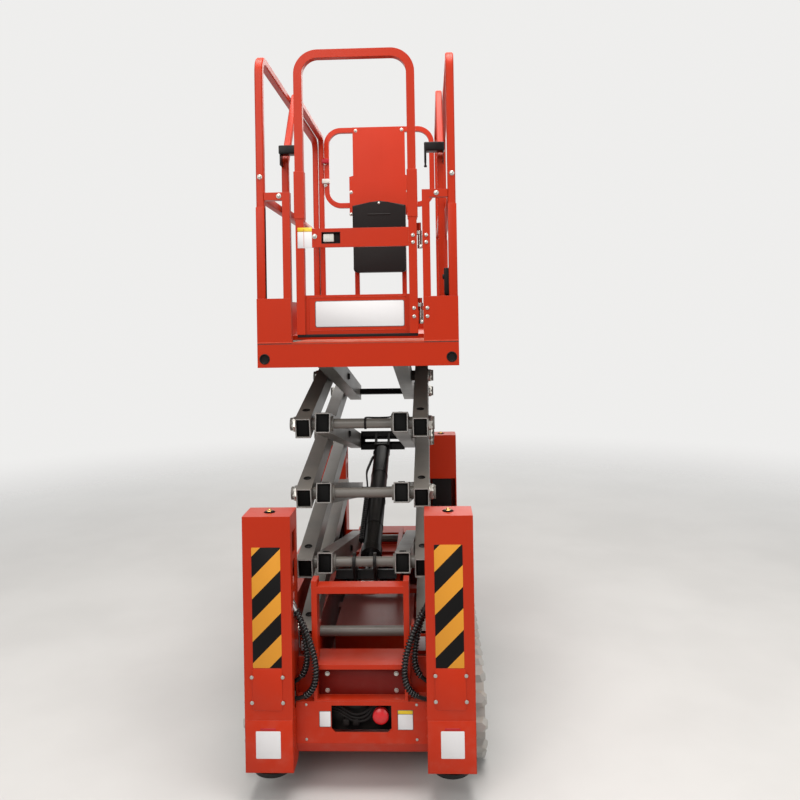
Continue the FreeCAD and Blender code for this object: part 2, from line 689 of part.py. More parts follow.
def slotted_guide(slot_z, z0, z1):
    """An upright plate with a long slot that a cross tube slides along."""
    first, last = guide_range()
    x0 = GUIDE_X
    x1 = GUIDE_X + GUIDE_THICK
    plate = block(x0, x1, first, last, z0, z1)
    radius = CROSS_TUBE_R + SIDE_FIT
    slot_ends = (first + GUIDE_END + radius, last - GUIDE_END - radius)
    slot = block(x0 - 1, x1 + 1, slot_ends[0], slot_ends[1], slot_z - radius, slot_z + radius)
    return plate.cut(join([slot] + [rod_x(x0 - 1, x1 + 1, y, slot_z, radius) for y in slot_ends]))


def end_panel():
    """The folded end plate: upright face and bevelled foot, at the entry end."""
    w = CHASSIS_HALF_WIDTH
    y = -CHASSIS_HALF_LENGTH
    foot_y = y - PLATE + PANEL_BEVEL_DEPTH
    outline = [(y - PLATE, PANEL_BOTTOM_Z), (y - PLATE, LEDGE_Z), (y, LEDGE_Z), (y, PANEL_BOTTOM_Z),
               (foot_y, PANEL_BEVEL_Z + PLATE), (foot_y, PANEL_BEVEL_Z)]
    return profile_x(outline, -w, w)


def rear_panel():
    """The entry end's plate with its slot, whose lower corners are cut."""
    y = -CHASSIS_HALF_LENGTH
    half = SLOT_HALF_WIDTH
    outline = [(-half, SLOT_TOP_Z), (-half, SLOT_BOTTOM_Z + SLOT_CORNER), (SLOT_CORNER - half, SLOT_BOTTOM_Z),
               (half - SLOT_CORNER, SLOT_BOTTOM_Z), (half, SLOT_BOTTOM_Z + SLOT_CORNER), (half, SLOT_TOP_Z)]
    return end_panel().cut(profile_y(outline, y - PLATE - 1, y + 1))


def profile_y(points, y0, y1):
    """A plate of constant outline in the XZ plane, from y0 to y1."""
    ring = [V(x, y0, z) for x, z in points]
    face = Part.Face(Part.makePolygon(ring + [ring[0]]))
    return face.extrude(V(0, y1 - y0, 0))


def front_panel():
    """The plain end plate at the far end."""
    return mirror_y(end_panel())


def emergency_button():
    """The red mushroom head and its stem, held by the plate behind the slot."""
    y = -CHASSIS_HALF_LENGTH
    dome = Part.makeSphere(BUTTON_R * 1.6, V(BUTTON_X, y + BUTTON_R * 1.45, BUTTON_Z))
    head = Part.makeCylinder(BUTTON_R, BUTTON_R, V(BUTTON_X, y - PLATE, BUTTON_Z), AXIS_Y).common(dome)
    start = V(BUTTON_X, y + BUTTON_R / 2, BUTTON_Z)
    stem = Part.makeCylinder(BUTTON_STEM_R, BRACKET_DEPTH - BUTTON_R / 2, start, AXIS_Y)
    return join([head, stem])


def switch_bracket():
    """The plate behind the slot that holds the button."""
    y = -CHASSIS_HALF_LENGTH + BRACKET_DEPTH
    w = CHASSIS_HALF_WIDTH - PLATE
    return block(-w, w, y, y + PLATE, SLOT_BOTTOM_Z - 15, LEDGE_Z - PLATE)


def battery_block():
    """The battery pack as one plain block in the tub."""
    half = BATTERY_HALF_WIDTH
    reach = BATTERY_SHARE * CHASSIS_HALF_LENGTH
    return block(-half, half, -reach, reach, CHASSIS_FLOOR_Z + PLATE, BATTERY_TOP_Z)


def power_unit():
    """Tank and motor behind the far cross beam."""
    floor = CHASSIS_FLOOR_Z + PLATE
    start = TANK_START_SHARE * CHASSIS_HALF_LENGTH
    end = CHASSIS_HALF_LENGTH - SHELF_DEPTH
    tank = block(-TANK_WIDTH, 0, start, end, floor, floor + TANK_HEIGHT)
    motor = Part.makeCylinder(MOTOR_R, MOTOR_LENGTH, V(MOTOR_R, start, floor + MOTOR_R), AXIS_Y)
    return Part.makeCompound([tank, motor])


def step_frame():
    """The upright frame on the shelf, with its tread below the tops of its posts."""
    half = STEP_HALF_WIDTH
    far = STEP_NEAR_Y + STEP_DEPTH
    post = block(half - STEP_POST, half, STEP_NEAR_Y, far, LEDGE_Z, STEP_TOP_Z)
    post = post.cut(block(half - STEP_POST - 1, SHELF_HALF_WIDTH, STEP_NEAR_Y - 1, far + 1,
                          LEDGE_Z - 1, SHELF_Z))
    post = post.cut(block(half - STEP_POST - 1, half + 1, -WING_Y, far + 1, LEDGE_Z - 1, SHELF_Z))
    tread = block(-half + STEP_POST, half - STEP_POST, STEP_NEAR_Y, far,
                  STEP_TREAD_BOTTOM_Z, STEP_TREAD_TOP_Z)
    return join([post, mirror_x(post), tread])


def step_screen():
    """The clear sheet under the tread."""
    half = STEP_HALF_WIDTH - STEP_POST
    y = STEP_NEAR_Y + STEP_DEPTH / 2
    return block(-half, half, y, y + SCREEN_THICK, SCREEN_BOTTOM_Z, STEP_TREAD_BOTTOM_Z)


def cabinet(side):
    """A side cabinet above a track."""
    inner = CABINET_INNER_X
    outer = CABINET_OUTER_X
    top = CABINET_TOP_Z
    outline = [(inner, CABINET_BOTTOM_Z), (outer, CABINET_BOTTOM_Z), (outer, top - CABINET_CHAMFER),
               (outer - CABINET_CHAMFER, top), (inner, top)]
    shell = profile_y(outline, -CABINET_HALF_LENGTH, CABINET_HALF_LENGTH)
    strap = block(CHASSIS_HALF_WIDTH, inner, -CABINET_HALF_LENGTH, CABINET_HALF_LENGTH,
                  CABINET_BOTTOM_Z, CABINET_BOTTOM_Z + PLATE)
    shape = join([shell, strap])
    return shape if side > 0 else mirror_x(shape)


def track(side):
    """A rubber track, one loop with two staggered rows of lugs."""
    inner_x = TRACK_OUTER_X - TRACK_WIDTH
    outer_r = TRACK_MIDDLE_Z - LUG_HEIGHT
    belt_in = inner_x + BELT_INSET
    belt_out = TRACK_OUTER_X - BELT_INSET
    belt = stadium(outer_r, TRACK_STRAIGHT, TRACK_MIDDLE_Z, belt_in, belt_out)
    belt = belt.cut(stadium(outer_r - TRACK_BELT, TRACK_STRAIGHT, TRACK_MIDDLE_Z, belt_in - 1, belt_out + 1))
    bend_run = math.pi * outer_r
    loop_run = 2 * (2 * TRACK_STRAIGHT + bend_run)
    count = int(round(loop_run / LUG_PITCH))
    pitch = loop_run / count
    rows = ((lug_block(TRACK_OUTER_X - LUG_SPAN, TRACK_OUTER_X), 0.25),
            (lug_block(inner_x + LUG_SPAN, inner_x), 0.75))
    lugs = []
    for row, offset in rows:
        for index in range(count):
            lugs.append(place_on_track(row, (index + offset) * pitch, bend_run, outer_r))
    loop = belt.multiFuse(lugs).removeSplitter()
    return loop if side > 0 else mirror_x(loop)


def lug_block(root_x, tip_x):
    """One lug standing on z = 0, square at its root and cut at the corners of its tip."""
    way = 1 if tip_x > root_x else -1
    wires = []
    for half, z, inset in ((LUG_BASE / 2, -3.0, 0.0), (LUG_CREST / 2, LUG_HEIGHT, BELT_INSET)):
        tip = tip_x - way * inset
        corner = tip - way * LUG_CORNER
        ring = [V(root_x, -half, z), V(root_x, half, z), V(corner, half, z), V(tip, half - LUG_CORNER, z),
                V(tip, LUG_CORNER - half, z), V(corner, -half, z)]
        wires.append(Part.makePolygon(ring + [ring[0]]))
    return Part.makeLoft(wires, True, True)


def stadium(radius, straight, middle, x0, x1):
    """A round-ended bar outline around the track's line, from x0 to x1."""
    body = block(x0, x1, -straight, straight, middle - radius, middle + radius)
    return join([body, rod_x(x0, x1, -straight, middle, radius), rod_x(x0, x1, straight, middle, radius)])


def place_on_track(lug, distance, bend_run, outer_r):
    """A copy of a lug at a distance along the track's outer face."""
    lug = lug.copy()
    half_run = 2 * TRACK_STRAIGHT
    if distance < half_run:
        lug.translate(V(0, -TRACK_STRAIGHT + distance, TRACK_MIDDLE_Z + outer_r))
        return lug
    distance -= half_run
    if distance < bend_run:
        angle = distance / outer_r
        lug.rotate(V(0, 0, 0), AXIS_X, -math.degrees(angle))
        y = TRACK_STRAIGHT + outer_r * math.sin(angle)
        lug.translate(V(0, y, TRACK_MIDDLE_Z + outer_r * math.cos(angle)))
        return lug
    distance -= bend_run
    if distance < half_run:
        lug.rotate(V(0, 0, 0), AXIS_X, 180)
        lug.translate(V(0, TRACK_STRAIGHT - distance, TRACK_MIDDLE_Z - outer_r))
        return lug
    angle = (distance - half_run) / outer_r
    lug.rotate(V(0, 0, 0), AXIS_X, 180 - math.degrees(angle))
    y = -TRACK_STRAIGHT - outer_r * math.sin(angle)
    lug.translate(V(0, y, TRACK_MIDDLE_Z - outer_r * math.cos(angle)))
    return lug


def track_frame(side):
    """The beam inside a track with its drive wheel, idler and rollers."""
    centre_x = TRACK_CENTRE_X
    middle = TRACK_MIDDLE_Z
    inside_r = middle - LUG_HEIGHT - TRACK_BELT - WHEEL_FIT
    half = TRACK_WHEEL_WIDTH / 2
    beam_half = TRACK_BEAM_WIDTH / 2
    near = TRACK_STRAIGHT - BEAM_ARM / 2
    tall = BEAM_HALF_HEIGHT
    pieces = [block(centre_x - beam_half, centre_x + beam_half, -near, near, middle - tall, middle + tall)]
    for end in ENDS.values():
        hub_y = end * TRACK_STRAIGHT
        pieces.append(rod_x(centre_x - half, centre_x + half, hub_y, middle, inside_r))
        pieces.append(rod_x(centre_x - beam_half, centre_x + beam_half, hub_y, middle, HUB_R))
        pieces.append(block(centre_x - beam_half, centre_x + beam_half, hub_y, hub_y - end * BEAM_ARM,
                            middle - BEAM_ARM_HALF, middle + BEAM_ARM_HALF))
    low_z = middle - inside_r + ROLLER_R
    for index in range(ROLLER_COUNT):
        y = (index - (ROLLER_COUNT - 1) / 2) * ROLLER_PITCH
        pieces.append(rod_x(centre_x - half, centre_x + half, y, low_z, ROLLER_R))
    shape = join(pieces)
    return shape if side > 0 else mirror_x(shape)


def to_corner(shape, side, end):
    """A shape built at the near right corner, carried to any corner."""
    if side < 0:
        shape = mirror_x(shape)
    if end > 0:
        shape = mirror_y(shape)
    return shape


def outrigger(side, end):
    """A folded leg housing, open below, low at its back and with windows in its inner cheek."""
    x0 = LEG_INNER_X
    x1 = x0 + LEG_WIDTH
    y0 = -LEG_HALF_LENGTH
    y1 = y0 + LEG_DEPTH
    wall = LEG_WALL
    shell = block(x0, x1, y0, y1, LEG_BOTTOM_Z, LEG_TOP_Z)
    shell = shell.cut(block(x0 + wall, x1 - wall, y0 + wall, y1 - wall, LEG_BOTTOM_Z - 1, LEG_TOP_Z - wall))
    shell = shell.cut(block(x0 + wall, x1 - wall, y1 - wall - 1, y1 + 1, LEG_BOTTOM_Z - 1, LEG_BACK_Z))
    chamfer = [(y1 + 1, LEG_BOTTOM_Z - 1), (y1 - LEG_CHAMFER, LEG_BOTTOM_Z - 1),
               (y1 + 1, LEG_BOTTOM_Z + LEG_CHAMFER)]
    shell = shell.cut(profile_x(chamfer, x0 - 1, x1 + 1))
    shell = shell.cut(rod_z((x0 + x1) / 2, (y0 + y1) / 2, LEG_TOP_Z - wall - 1, LEG_TOP_Z + 1, LEG_CAP_R))
    middle_y = (y0 + y1) / 2
    for low, high in LEG_WINDOWS:
        reach = LEG_WINDOW_DEPTH / 2
        shell = shell.cut(block(x0 - 1, x0 + wall + 1, middle_y - reach, middle_y + reach, low, high))
    return to_corner(shell, side, end)


def jack():
    """The fixed black tube in the near right leg housing, with its top cap."""
    centre_x = LEG_INNER_X + LEG_WIDTH / 2
    centre_y = -LEG_HALF_LENGTH + LEG_DEPTH / 2
    half = JACK_SIZE / 2
    inside = half - JACK_WALL
    top = LEG_TOP_Z - LEG_WALL
    tube = block(centre_x - half, centre_x + half, centre_y - half, centre_y + half, JACK_BOTTOM_Z, top)
    tube = tube.cut(block(centre_x - inside, centre_x + inside, centre_y - inside, centre_y + inside,
                          JACK_BOTTOM_Z - 1, top - FOOT_NECK))
    reach = LEG_WIDTH / 2 - LEG_WALL
    pad = JACK_PAD / 2
    for z in (LEG_BOTTOM_Z + JACK_PAD_RISE, LEG_TOP_Z - JACK_PAD_RISE * 2):
        for way in (-1, 1):
            tube = tube.fuse(block(centre_x + way * half, centre_x + way * reach,
                                   centre_y - pad, centre_y + pad, z, z + JACK_PAD))
    cap = rod_z(centre_x, centre_y, top, LEG_TOP_Z + 4, LEG_CAP_R - 6)
    return join([tube, cap])


def jacks():
    """The four fixed leg tubes."""
    corners = [(side, end) for side in SIDES.values() for end in ENDS.values()]
    return Part.makeCompound([to_corner(jack(), side, end) for side, end in corners])


def foot(side, end):
    """A sliding inner column with its round pad."""
    centre_x = LEG_INNER_X + LEG_WIDTH / 2
    centre_y = -LEG_HALF_LENGTH + LEG_DEPTH / 2
    half = JACK_SIZE / 2 - JACK_WALL - FOOT_FIT
    base = FOOT_Z + FOOT_NECK
    column = block(centre_x - half, centre_x + half, centre_y - half, centre_y + half, base, FOOT_COLUMN_TOP)
    neck = rod_z(centre_x, centre_y, FOOT_Z + FOOT_THICK, base, FOOT_NECK_R)
    pad = rod_z(centre_x, centre_y, FOOT_Z, FOOT_Z + FOOT_THICK, FOOT_R)
    return to_corner(join([column, neck, pad]), side, end)


def hose_point(x, before_end, z):
    """A point of a hose's route, placed from the chassis end."""
    return V(x, -CHASSIS_HALF_LENGTH - before_end, z)


def hose(route, side):
    """A hose along a route of straight runs joined by tangent arcs."""
    stops = [hose_point(*point) for point in route]
    pieces = []
    start = stops[0]
    for index in range(1, len(stops)):
        along = (stops[index] - stops[index - 1]).normalize()
        if index == len(stops) - 1:
            pieces.append(Part.makeCylinder(HOSE_R, (stops[index] - start).Length, start, along))
            break
        onward = (stops[index + 1] - stops[index]).normalize()
        turn = along.getAngle(onward)
        shorter = min((stops[index] - stops[index - 1]).Length, (stops[index + 1] - stops[index]).Length)
        reach = HOSE_BEND_SHARE * shorter
        radius = reach / math.tan(turn / 2)
        tangent = stops[index] - along * reach
        pieces.append(Part.makeCylinder(HOSE_R, (tangent - start).Length, start, along))
        axis = along.cross(onward).normalize()
        centre = tangent + axis.cross(along) * radius
        disc = Part.Face(Part.Wire(Part.makeCircle(HOSE_R, tangent, along)))
        pieces.append(disc.revolve(centre, axis, math.degrees(turn)))
        start = stops[index] + onward * reach
        print("hose bend radius", round(radius, 1))
    shape = join(pieces)
    return shape if side > 0 else mirror_x(shape)


def hose_fittings():
    """The fitting at each hose end, cut off where it meets the leg's tube."""
    centre_x = LEG_INNER_X + LEG_WIDTH / 2
    centre_y = -LEG_HALF_LENGTH + LEG_DEPTH / 2
    half = JACK_SIZE / 2
    tube = block(centre_x - half, centre_x + half, centre_y - half, centre_y + half, JACK_BOTTOM_Z, LEG_TOP_Z)
    fittings = []
    for route in HOSES.values():
        stops = [hose_point(*point) for point in route]
        for last, before in ((stops[0], stops[1]), (stops[-1], stops[-2])):
            away = (last - before).normalize()
            fitting = Part.makeCylinder(HOSE_FITTING_R, HOSE_FITTING, last, away).cut(tube)
            nearest = sorted(fitting.Solids, key=lambda solid: solid.distToShape(Part.Vertex(last))[0])
            fittings += [nearest[0], mirror_x(nearest[0])]
    return Part.makeCompound(fittings)


def platform_frame():
    """The platform's base: side channels, end members, pivot lugs and slotted guides."""
    bottom = DECK_Z - CHANNEL_HEIGHT
    top = DECK_Z - DECK_PLATE
    w = DECK_HALF_WIDTH
    sheet = CHANNEL_SHEET
    rail = block(w - CHANNEL_WIDTH, w, DECK_NEAR_Y, DECK_FAR_Y, bottom, top)
    rail = rail.cut(block(w - CHANNEL_WIDTH - 1, w - sheet, DECK_NEAR_Y + sheet, DECK_FAR_Y - sheet,
                          bottom + sheet, top - sheet))
    pieces = [rail, mirror_x(rail)]
    for y0, y1 in ((DECK_NEAR_Y, DECK_NEAR_Y + sheet), (DECK_FAR_Y - sheet, DECK_FAR_Y)):
        pieces.append(block(-w, w, y0, y1, bottom, top))
    near_y, near_z = near_pivot(STAGES)
    lug_x = INNER_ARM_X + ARM_WIDTH / 2 + LUG_GAP
    spans = [(near_y - JOIST_OFFSET, w - sheet), (JOIST_NEAR_Y, w - sheet), (JOIST_MIDDLE_Y, w - sheet),
             (JOIST_FAR_Y, lug_x)]
    half = JOIST_WIDTH / 2
    for y, half_width in spans:
        pieces.append(block(-half_width, half_width, y - half, y + half, top - JOIST_HEIGHT, top))
    half = PIVOT_LUG_HALF - LUG_GAP
    outline = [(near_y - JOIST_OFFSET - JOIST_WIDTH / 2, top), (near_y + GUIDE_HALF_HEIGHT, top),
               (near_y + half, near_z - half), (near_y - half, near_z - half),
               (near_y - JOIST_OFFSET - JOIST_WIDTH / 2, top - JOIST_HEIGHT)]
    lug = profile_x(outline, lug_x, lug_x + LUG_PLATE)
    lug = lug.cut(rod_x(lug_x - 1, lug_x + LUG_PLATE + 1, near_y, near_z, PIN_R + PIN_FIT))
    guide = slotted_guide(near_z, near_z - GUIDE_HALF_HEIGHT, top)
    pieces += [lug, mirror_x(lug), guide, mirror_x(guide)]
    frame = join(pieces)
    for side in SIDES.values():
        hole = Part.makeCylinder(PLUG_R, DECK_LENGTH + 2, V(side * PLUG_X, DECK_NEAR_Y - 1, PLUG_Z), AXIS_Y)
        frame = frame.cut(hole)
    return frame


def platform_floor():
    """The tread plate."""
    w = DECK_HALF_WIDTH
    return block(-w, w, DECK_NEAR_Y, DECK_FAR_Y, DECK_Z - DECK_PLATE, DECK_Z)


def toe_boards():
    """Side and end boards above the floor, open at the entry."""
    w = DECK_HALF_WIDTH
    t = TOE_PLATE
    side = block(w - t, w, DECK_NEAR_Y, DECK_FAR_Y, DECK_Z, TOE_TOP_Z)
    wing = block(GATE_OPENING_HALF, w, DECK_NEAR_Y, DECK_NEAR_Y + t, DECK_Z, TOE_TOP_Z)
    half = join([side, wing])
    return both_sides(half)


def guard_rail(side):
    """A side rail: corner posts, sleeved upper loop and middle rail."""
    x = DECK_HALF_WIDTH - TOE_PLATE - POST / 2
    near = DECK_NEAR_Y + TOE_PLATE + POST / 2
    far = DECK_FAR_Y - POST / 2
    top = RAIL_TOP_Z - POST / 2
    points = [(x, near, DECK_Z), (x, near, top), (x, far, top), (x, far, DECK_Z)]
    loop = square_tube(points, POST, RAIL_BEND, AXIS_X)
    half = MID_RAIL / 2
    pieces = [loop, block(x - half, x + half, near, far, MID_RAIL_Z - half, MID_RAIL_Z + half)]
    sleeve = POST / 2 + SLEEVE_WALL
    for y in (near, far):
        pieces.append(block(x - POST / 2, x + sleeve, y - POST / 2, y + POST / 2, TOE_TOP_Z, SLEEVE_TOP_Z))
    shape = join(pieces)
    return shape if side > 0 else mirror_x(shape)


def entry_frames():
    """The two angled frames that narrow the entry to the gate."""
    t = FRAME_TUBE
    x_in = GATE_OPENING_HALF + t / 2
    x_out = DECK_HALF_WIDTH - TOE_PLATE - POST
    y = DECK_NEAR_Y + TOE_PLATE + t / 2
    frame = square_tube([(x_in, y, DECK_Z), (x_in, y, MID_RAIL_Z), (x_out, y, MID_RAIL_Z)], t, 0, AXIS_Y)
    return both_sides(frame)


def gate():
    """The gate: arched tube in its sleeves, middle rail with its latch window, and kick panel."""
    t = GATE_TUBE
    y = DECK_NEAR_Y + TOE_PLATE + t / 2
    edge = GATE_HALF_WIDTH - t / 2
    top = GATE_TOP_Z - t / 2
    arch = square_tube([(-edge, y, GATE_BOTTOM_Z), (-edge, y, top), (edge, y, top), (edge, y, GATE_BOTTOM_Z)],
                       t, GATE_BEND, AXIS_Y)
    half = GATE_MID_HEIGHT / 2
    middle = block(-edge, edge, y - t / 2, y - t / 2 + GATE_MID_DEPTH, GATE_MID_Z - half, GATE_MID_Z + half)
    middle = middle.cut(block(LATCH_LEFT_X, LATCH_RIGHT_X, y - t, y + t, GATE_MID_Z - LATCH_HALF_HEIGHT,
                              GATE_MID_Z + LATCH_HALF_HEIGHT))
    pieces = [arch, middle, block(-edge, edge, y - 2, y + 1, GATE_BOTTOM_Z, KICK_TOP_Z)]
    sleeve = t / 2 + SLEEVE_WALL
    for x in (-edge, edge):
        pieces.append(block(x - sleeve, x + sleeve, y - t / 2, y + sleeve, *GATE_SLEEVE))
    for z in HINGE_LEVELS:
        upper = z + HINGE_LENGTH / 2
        pieces.append(rod_z(HINGE_X, HINGE_Y, upper, z + HINGE_LENGTH, HINGE_R))
        pieces.append(block(edge, HINGE_X, HINGE_Y - 2, HINGE_Y + 2, upper, z + HINGE_LENGTH))
    return join(pieces)


def gate_hinges():
    """Two hinge barrels on the right entry post."""
    barrels = []
    for z in HINGE_LEVELS:
        top = z + HINGE_LENGTH / 2 - SIDE_FIT
        knuckle = rod_z(HINGE_X, HINGE_Y, z, top, HINGE_R)
        leaf = block(HINGE_X, GATE_OPENING_HALF, HINGE_Y - 2, HINGE_Y + 2, z, top)
        barrels.append(join([knuckle, leaf]))
    return Part.makeCompound(barrels)


def extension_deck():
    """The sliding deck plate on the main floor."""
    w = EXT_HALF_WIDTH
    return block(-w, w, EXT_NEAR_Y, DECK_FAR_Y, DECK_Z + EXT_FIT, EXT_BASE_Z)


def extension_rails():
    """The rails that ride on the sliding deck, with their sloping near corners."""
    x = EXT_HALF_WIDTH - EXT_POST / 2
    near = EXT_NEAR_Y + EXT_POST / 2
    far = DECK_FAR_Y - EXT_POST / 2
    top = EXT_TOP_Z - EXT_POST / 2
    points = [(x, near, EXT_BASE_Z), (x, near, EXT_KNEE_Z), (x, near + EXT_SLOPE, top), (x, far, top),
              (x, far, EXT_BASE_Z)]
    rail = square_tube(points, EXT_POST, EXT_BEND, AXIS_X)
    half = EXT_MID / 2
    middle = block(x - half, x + half, near, far, EXT_MID_Z - half, EXT_MID_Z + half)
    toe = block(x - TOE_PLATE, x + TOE_PLATE, near, far, EXT_BASE_Z, EXT_BASE_Z + EXT_TOE)
    return both_sides(join([rail, middle, toe]))


def far_frame():
    """The round-cornered frame, its plate and its lower tubes across the sliding deck's far end."""
    y = DECK_FAR_Y - EXT_POST / 2
    inner = EXT_HALF_WIDTH - EXT_POST
    half = inner - FAR_TUBE / 2
    low = FAR_LOOP_BOTTOM_Z + FAR_TUBE / 2
    high = FAR_LOOP_TOP_Z - FAR_TUBE / 2
    points = [(0, y, low), (-half, y, low), (-half, y, high), (half, y, high), (half, y, low), (0, y, low)]
    loop = square_tube(points, FAR_TUBE, FAR_BEND, AXIS_Y)
    face = y - FAR_TUBE / 2
    wide, wide_low, wide_high = FAR_PLATE_LOW
    slim, slim_low, slim_high = FAR_PLATE_HIGH
    outline = [(-wide, wide_low), (wide, wide_low), (wide, wide_high), (slim, slim_low), (slim, slim_high),
               (-slim, slim_high), (-slim, slim_low), (-wide, wide_high)]
    pieces = [loop, profile_y(outline, face - TOE_PLATE, face)]
    post = FAR_POST / 2
    for x in (-FAR_POST_X, FAR_POST_X):
        pieces.append(block(x - post, x + post, y - post, y + post, EXT_BASE_Z, FAR_LOOP_BOTTOM_Z))
    pieces.append(block(-inner, inner, y - TOE_PLATE, y + TOE_PLATE, EXT_BASE_Z, EXT_BASE_Z + EXT_TOE))
    return join(pieces)


def document_box():
    """The black box with a peaked top that hangs on the far plate."""
    y = DECK_FAR_Y - EXT_POST / 2 - FAR_TUBE / 2 - TOE_PLATE
    half = BOX_HALF_WIDTH
    outline = [(-half, BOX_BOTTOM_Z), (half, BOX_BOTTOM_Z), (half, BOX_SIDE_Z), (half / 3, BOX_PEAK_Z - 6),
               (0, BOX_PEAK_Z), (-half / 3, BOX_PEAK_Z - 6), (-half, BOX_SIDE_Z)]
    return profile_y(outline, y - BOX_DEPTH, y)


def rail_handles():
    """Black inverted channels against the sliding rails' near corners."""
    x1 = EXT_HALF_WIDTH
    x0 = x1 - HANDLE_WIDTH
    t = HANDLE_PLATE
    y1 = EXT_NEAR_Y
    y0 = y1 - HANDLE_DEPTH
    top = block(x0, x1, y0, y1, HANDLE_TOP_Z - 2 * t, HANDLE_TOP_Z)
    legs = [block(x, x + t, y0, y1, HANDLE_TOP_Z - HANDLE_LEG, HANDLE_TOP_Z) for x in (x0, x1 - t)]
    return both_sides(join([top] + legs))


NODES = {
    "chassis_frame": chassis_frame,
    "rear_panel": rear_panel,
    "front_panel": front_panel,
    "emergency_button": emergency_button,
    "switch_bracket": switch_bracket,
    "battery_block": battery_block,
    "power_unit": power_unit,
    "step_frame": step_frame,
    "step_screen": step_screen,
    "base_pivot_bar": base_pivot_bar,
    "jacks": jacks,
    "hose_fittings": hose_fittings,
    "lift_barrel": barrel,
    "lift_rod": piston_rod,
    "platform_frame": platform_frame,
    "platform_floor": platform_floor,
    "toe_boards": toe_boards,
    "entry_frames": entry_frames,
    "gate": gate,
    "gate_hinges": gate_hinges,
    "extension_deck": extension_deck,
    "extension_rails": extension_rails,
    "far_frame": far_frame,
    "document_box": document_box,
    "rail_handles": rail_handles,
}


def build_nodes():
    """Every node's name and shape."""
    shapes = {name: make() for name, make in NODES.items()}
    for side_name, side in SIDES.items():
        shapes["cabinet_" + side_name] = cabinet(side)
        shapes["track_" + side_name] = track(side)
        shapes["track_frame_" + side_name] = track_frame(side)
        shapes["guard_rail_" + side_name] = guard_rail(side)
        for hose_name, route in HOSES.items():
            shapes["hose_" + hose_name + "_" + side_name] = hose(route, side)
        for end_name, end in ENDS.items():
            place = end_name + "_" + side_name
            shapes["outrigger_" + place] = outrigger(side, end)
            shapes["foot_" + place] = foot(side, end)
    for stage in range(1, STAGES + 1):
        shapes["outer_arms_%d" % stage] = outer_arms(stage)
        shapes["inner_arms_%d" % stage] = inner_arms(stage)
        shapes["cross_bars_%d" % stage] = cross_bars(stage)
    return shapes


os.makedirs("parts", exist_ok=True)
for node, shape in build_nodes().items():
    shape.exportStep("parts/" + node + ".step")
    box = shape.BoundBox
    print(node, len(shape.Solids), "valid" if shape.isValid() else "INVALID",
          [round(v, 1) for v in (box.XMin, box.YMin, box.ZMin, box.XMax, box.YMax, box.ZMax)])
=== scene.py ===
"""Finished look of a narrow tracked scissor lift with four corner legs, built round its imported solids."""

import fnmatch
import logging
import math
from dataclasses import dataclass, field
from enum import Enum
from typing import Optional, Sequence

import bmesh
import bpy
from mathutils import Matrix, Vector
from mathutils.bvhtree import BVHTree

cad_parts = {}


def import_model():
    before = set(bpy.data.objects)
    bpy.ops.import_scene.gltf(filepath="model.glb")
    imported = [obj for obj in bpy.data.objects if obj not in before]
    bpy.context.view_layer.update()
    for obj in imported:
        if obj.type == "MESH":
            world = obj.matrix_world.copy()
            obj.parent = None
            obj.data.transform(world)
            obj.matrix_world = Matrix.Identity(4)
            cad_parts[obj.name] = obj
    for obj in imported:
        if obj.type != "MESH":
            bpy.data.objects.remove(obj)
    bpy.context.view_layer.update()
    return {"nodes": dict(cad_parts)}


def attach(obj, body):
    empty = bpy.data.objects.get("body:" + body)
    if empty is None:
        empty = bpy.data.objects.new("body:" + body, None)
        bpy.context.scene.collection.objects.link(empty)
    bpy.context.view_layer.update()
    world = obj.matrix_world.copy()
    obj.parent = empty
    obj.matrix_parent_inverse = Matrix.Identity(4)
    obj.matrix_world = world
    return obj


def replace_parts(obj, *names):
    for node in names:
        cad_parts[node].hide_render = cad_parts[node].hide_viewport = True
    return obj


LOG = logging.getLogger("scissor_lift")
DARKER_SHARE = 0.72

Colour = tuple[float, float, float]
Point = tuple[float, float, float]
Outline = Sequence[tuple[float, float]]
Spots = tuple[tuple[float, float], ...]

SIDES = {"left": -1.0, "right": 1.0}
ENDS = {"near": -1.0, "far": 1.0}
ACROSS: Point = (1.0, 0.0, 0.0)
ALONG: Point = (0.0, 1.0, 0.0)
BACK: Point = (0.0, -1.0, 0.0)
UP: Point = (0.0, 0.0, 1.0)


